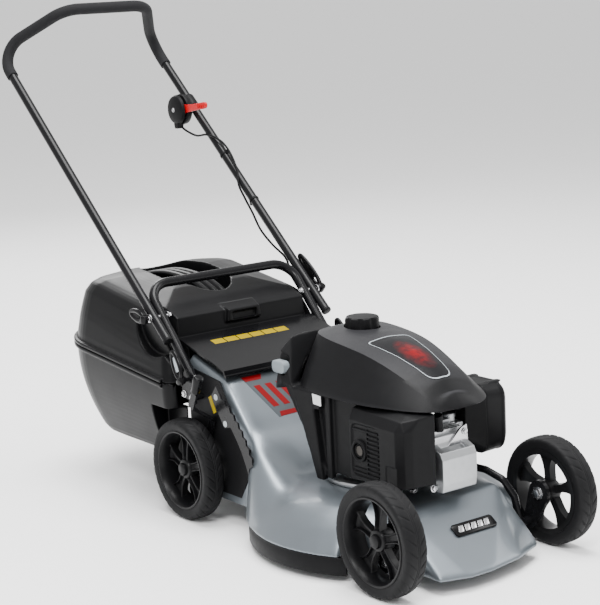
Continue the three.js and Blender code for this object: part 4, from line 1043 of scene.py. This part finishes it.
def make_engine_trim(cowl):
    blades = [(f"blade_{i}", "blade", 0.5) for i in range(1, 5)]
    for node, finish, bevel in (
            ("cylinder", "cast", 0.8), ("muffler", "soot", 3.0), ("fuel_tank", "gloss", 2.0),
            ("flywheel", "cast", 0.8), ("starter_pulley", "black", 0.5), ("air_filter", "foam", 2.0),
            ("spark_plug", "black", 0.8), ("crankshaft", "steel", 0.6), ("blade_disc", "tube", 0.6),
            ("disc_bolt", "steel", 0.6), *blades):
        keep(node, finish, bevel)
    at = lows("fuel_cap").lerp(highs("fuel_cap"), 0.5)
    top = highs("fuel_cap").z
    rings = []
    profile = [(0.01, -23.6), (22, -23.6), (23.5, -31.5), (29, -31.5), (31.5, -24), (32.5, -21), (33, -18),
               (33, -6), (32, -2), (29.5, -0.4), (25, 0), (0.01, 0)]
    for i in range(160):
        angle = 2 * math.pi * i / 160
        lobe = 0.5 + 0.5 * math.cos(8 * angle)
        ring = []
        for r, h in profile:
            waist = smoothstep(-24, -19, h) * (1 - smoothstep(-1.5, 0, h)) if r > 26 else 0
            radius = r - 3.2 * lobe ** 2 * waist
            ring.append((at.x + radius * math.cos(angle), at.y + radius * math.sin(angle), top + h))
        rings.append(ring)
    piece("fuel_cap_detail", loft(rings, closed=True), "black", "fuel_cap", ("fuel_cap",),
          sharp=30)
    grip = box_loft([(-139, (-235, 325), (-203, 343), 7), (-137.5, (-238, 322.5), (-200, 345.5), 9),
                     (-124, (-238, 322.5), (-200, 345.5), 9), (-119, (-234, 326), (-204, 342), 7)])
    piece("starter_grip_detail", grip, "grip", "starter_grip", ("starter_grip",), bevel=1.0)
    outline = shield_outline()
    outline.append(outline[0])
    middle, high = -452, 500
    full = [0.004, *[i / 24 for i in range(1, 25)]]
    for name, sizes, finish, lift in (("cowl_panel", full, "cowl_panel", 0.45),
                                      ("cowl_panel_line", [0.955, 0.985], "pale", 0.75)):
        rows = [[(x * k, middle + (y - middle) * k, high) for x, y in outline] for k in sizes]
        cling(name, rows, cowl, (0, 0, -1), finish, "chassis", lift)


def shield_outline():
    """A rounded shield on the cowl's top, wide at the back and narrow in front, as (x, y) points."""
    corners = [(-50, -376, 12), (50, -376, 12), (25, -532, 20), (-25, -532, 20)]
    points = []
    for i, (x, y, r) in enumerate(corners):
        here, next_x, next_y, next_r = Vector((x, y)), *corners[(i + 1) % 4]
        before = (Vector(corners[i - 1][:2]) - here).normalized()
        after = (Vector((next_x, next_y)) - here).normalized()
        a, b = here + before * r, here + after * r
        points += [tuple(a * (1 - t) ** 2 + here * 2 * t * (1 - t) + b * t ** 2)
                   for t in [k / 6 for k in range(7)]]
        far = Vector((next_x, next_y)) - after * next_r
        points += [tuple(b.lerp(far, k / 8)) for k in range(1, 8)]
    return points


# ---------- flap and catcher ----------
def make_flap():
    keep("rear_flap", "gloss", 1.0)
    rise = math.atan(0.28)
    base = Matrix.Translation((0, -70, 306)) @ Matrix.Rotation(rise, 4, "X")
    cells = [block((-111 + 31 * i, 88, 2.0), (-82.5 + 31 * i, 124, 2.6)) for i in range(6)]
    piece("flap_band", moved(joined(*cells), base), "yellow", "rear_flap", bevel=0.15)


CATCHER = {"half": 214, "front": 54, "rear": 504, "rear_r": 120, "front_r": 24, "floor": 98}


def rim_z(y):
    return 261.1 + 0.09 * y


def catcher_outline(grow):
    half = CATCHER["half"] + grow
    back, nose = CATCHER["rear_r"], CATCHER["front_r"]
    rear, front = CATCHER["rear"] + grow - back, CATCHER["front"] + nose
    return quarter_arcs([(half - back, rear, back), (back - half, rear, back), (nose - half, front, nose),
                         (half - nose, front, nose)], 14)


def bin_rings(inset, top):
    taper, foot_radius = 42, 16
    rings = []
    for k in range(19):
        t = k / 18
        round_off = max(0.0, (t - 0.9) / 0.1)
        grow = -taper * t ** 2.3 - inset - foot_radius * round_off ** 2
        ring = []
        for x, y in catcher_outline(grow):
            floor = CATCHER["floor"] + inset + max(0.0, y - 370) * 0.18
            ring.append((x, y, (rim_z(y) + top) * (1 - t) + floor * t))
        rings.append(ring)
    return rings


def seam_strip(low, high):
    """The flange round the catcher's sides and rear, where the lid meets the bin."""
    points = [p for p in catcher_outline(0) if p[1] > 72]
    # The strip starts where the outline jumps across the open front, from -X to +X.
    start = next(i for i in range(1, len(points))
                 if points[i][0] > 0 > points[i - 1][0] and points[i][1] < 100)
    points = points[start:] + points[:start]
    rings = []
    for i, (x, y) in enumerate(points):
        a, b = points[max(i - 1, 0)], points[min(i + 1, len(points) - 1)]
        along = Vector((b[0] - a[0], b[1] - a[1])).normalized()
        out = Vector((along.y, -along.x))
        z = rim_z(y)
        rings.append([(x + out.x * d, y + out.y * d, z + h) for d, h in
                      ((-2.8, low), (5.5, low), (7, low + 1.5), (7, high - 1.5), (5.5, high), (-2.8, high))])
    return loft(rings)


LID_TOP = [(40, 366), (80, 383), (110, 396), (200, 429), (310, 445), (400, 448), (468, 437), (520, 414)]
LID_SHARE = [(0.0, 1.0), (0.3, 0.995), (0.55, 0.975), (0.75, 0.93), (0.84, 0.87), (0.9, 0.75), (0.953, 0.45),
             (0.985, 0.18), (1.0, 0.0)]


def between(table, value):
    """Straight-line reading of a table of (place, height)."""
    for (a, low), (b, high) in zip(table, table[1:]):
        if value <= b:
            return low + (high - low) * max(0.0, value - a) / (b - a)
    return table[-1][1]


def lid_height(x, y, rho):
    """Height of the lid's skin: steep sides and rear, a top that falls towards the front."""
    front = (1 - smoothstep(110, 210, y)) * (1 - smoothstep(150, 196, abs(x)))
    share = between(LID_SHARE, rho * (1 - 0.5 * front)) if rho < 0.999 else 0.0
    return rim_z(y) + (between(LID_TOP, y) - rim_z(y)) * share


def lid_shell(inset):
    outline = catcher_outline(-inset)
    centre = Vector((0, 300))
    rings = [[(x, y, rim_z(y) + (0.3 if not inset else -25)) for x, y in outline]]
    for k in range(1, 30):
        rho = 1 - (k / 29) ** 1.6 * 0.995
        ring = []
        for x, y in outline:
            at = centre + (Vector((x, y)) - centre) * rho
            ring.append((at.x, at.y, lid_height(at.x, at.y, rho) - inset))
        rings.append(ring)
    return loft(rings)


def oval_plug(grow, low, high):
    angles = [2 * math.pi * i / 64 for i in range(64)]
    return loft([[((74 + grow) * math.cos(a), 308 + (140 + grow) * math.sin(a), z) for a in angles]
                 for z in (low, high)])


def wheel_rooms(wall):
    """The recesses that the rear wheels stand in, for the bin's outer skin or for one a wall further in."""
    recess = [(-100, 0), (127 + wall, 0), (127 + wall, 214 + wall), (-100, 214 + wall)]
    return [slab(recess, s * (171.5 - wall), s * 400) for s in (1, -1)]


def lid_cuts(wall):
    """What is cut from the lid: the flap's shelf, room for the lower and the folding legs, the grip well."""
    slope, low = 0.28, 301 - wall
    shelf = [(-30, low + slope * 40), (92 + wall, low + slope * 162), (100 + wall, 480), (-30, 480)]
    legs = [(-50, 181 - 0.68 * wall), (210 + 0.73 * wall, 461), (-50, 461)]
    return [slab(shelf, -260, 260), *[slab(legs, s * (158 - wall), s * 400) for s in (1, -1)],
            *[cross_rod(s * (184 - wall), s * 260, FOLD, 79 + wall, 64) for s in (1, -1)],
            oval_plug(wall, 386 - wall, 470)]


def make_catcher():
    wall = 3
    mouth = block((-148, 30, 112), (148, 80, 322))
    # Outer and inner skins are made apart, so that the wall keeps one thickness round the recesses.
    outer = carved("bin_outer", loft(bin_rings(0, -0.5)), wheel_rooms(0))
    inner = carved("bin_inner", loft(bin_rings(wall, 30)), wheel_rooms(wall))
    shell = carved("bin_shell", outer, [inner, mouth])
    moulded("catcher_bin_shell", joined(shell, seam_strip(-9, -0.5)), "catcher", "catcher",
            ("catcher_bin",), voxel=1.9, passes=4)
    outer = carved("lid_outer", lid_shell(0), lid_cuts(0))
    inner = carved("lid_inner", lid_shell(wall), lid_cuts(wall))
    shell = carved("lid_shell", outer, [inner, mouth])
    hook = convex([(s * x, y, z) for s in (-1, 1) for x, y, z in
                   ((42, 106, 358), (42, 84, 364), (38, 84, 388), (42, 116, 398))])
    hook = carved("lid_hook", hook, [block((-30, 78, 366), (30, 92, 382))])
    moulded("catcher_lid_shell", joined(shell, seam_strip(0.5, 9), hook), "catcher", "catcher",
            ("catcher_lid",), voxel=1.9, passes=4)
    arch = [(168, 392), (200, 410), (250, 425), (310, 431), (370, 430), (440, 418)]
    ribs = [sweep(smooth_path([(x, y, z) for y, z in arch], 6), 8.2, 20, flat=0.95) for x in (-18, 0, 18)]
    bridge = [Vector((0, y, z)) for y, z in ((180, 396), (230, 414), (310, 424), (390, 423), (436, 414))]
    web = sweep(bridge, 22, 24, flat=0.22)
    moulded("carry_bar", joined(web, *ribs), "catcher", "catcher", (),
            voxel=1.8, passes=3)


# ---------- studio ----------
def make_studio():
    floor = bpy.data.objects.new("floor", bpy.data.meshes.new("floor"))
    size = 300.0
    corners = [(-size, -size, 0), (size, -size, 0), (size, size, 0), (-size, size, 0)]
    floor.data.from_pydata(corners, [], [(0, 1, 2, 3)])
    paint = surface("floor_paint", (0.93, 0.93, 0.93), 0.7, mottle=0.004, bump=0.02, shine=0.2)
    floor.data.materials.append(paint)
    bpy.context.scene.collection.objects.link(floor)
    world = bpy.data.worlds.new("studio")
    world.use_nodes = True
    world.node_tree.nodes["Background"].inputs["Color"].default_value = (1, 1, 1, 1)
    world.node_tree.nodes["Background"].inputs["Strength"].default_value = 1.15
    bpy.context.scene.world = world
    for name, place, width, power in (
            ("key", (-2.4, -2.2, 3.6), 1.4, 170), ("fill", (3.2, -1.2, 2.2), 1.6, 50),
            ("top", (0.1, -0.2, 4.2), 2.4, 330), ("rear", (1.0, 3.4, 2.4), 1.6, 70)):
        data = bpy.data.lights.new(name, "AREA")
        data.size = width
        data.energy = power
        light = bpy.data.objects.new(name, data)
        light.location = place
        light.rotation_euler = (Vector((0, 0, 0.3)) - Vector(place)).to_track_quat("-Z", "Y").to_euler()
        bpy.context.scene.collection.objects.link(light)


make_camera()
MATERIALS = make_materials()
make_wheels()
make_handle()
make_levers()
make_throttle()
make_cables()
deck_piece = make_deck()
make_deck_trim(deck_piece)
make_running_gear()
cowl_piece = make_engine()
make_engine_trim(cowl_piece)
make_flap()
make_catcher()
make_studio()
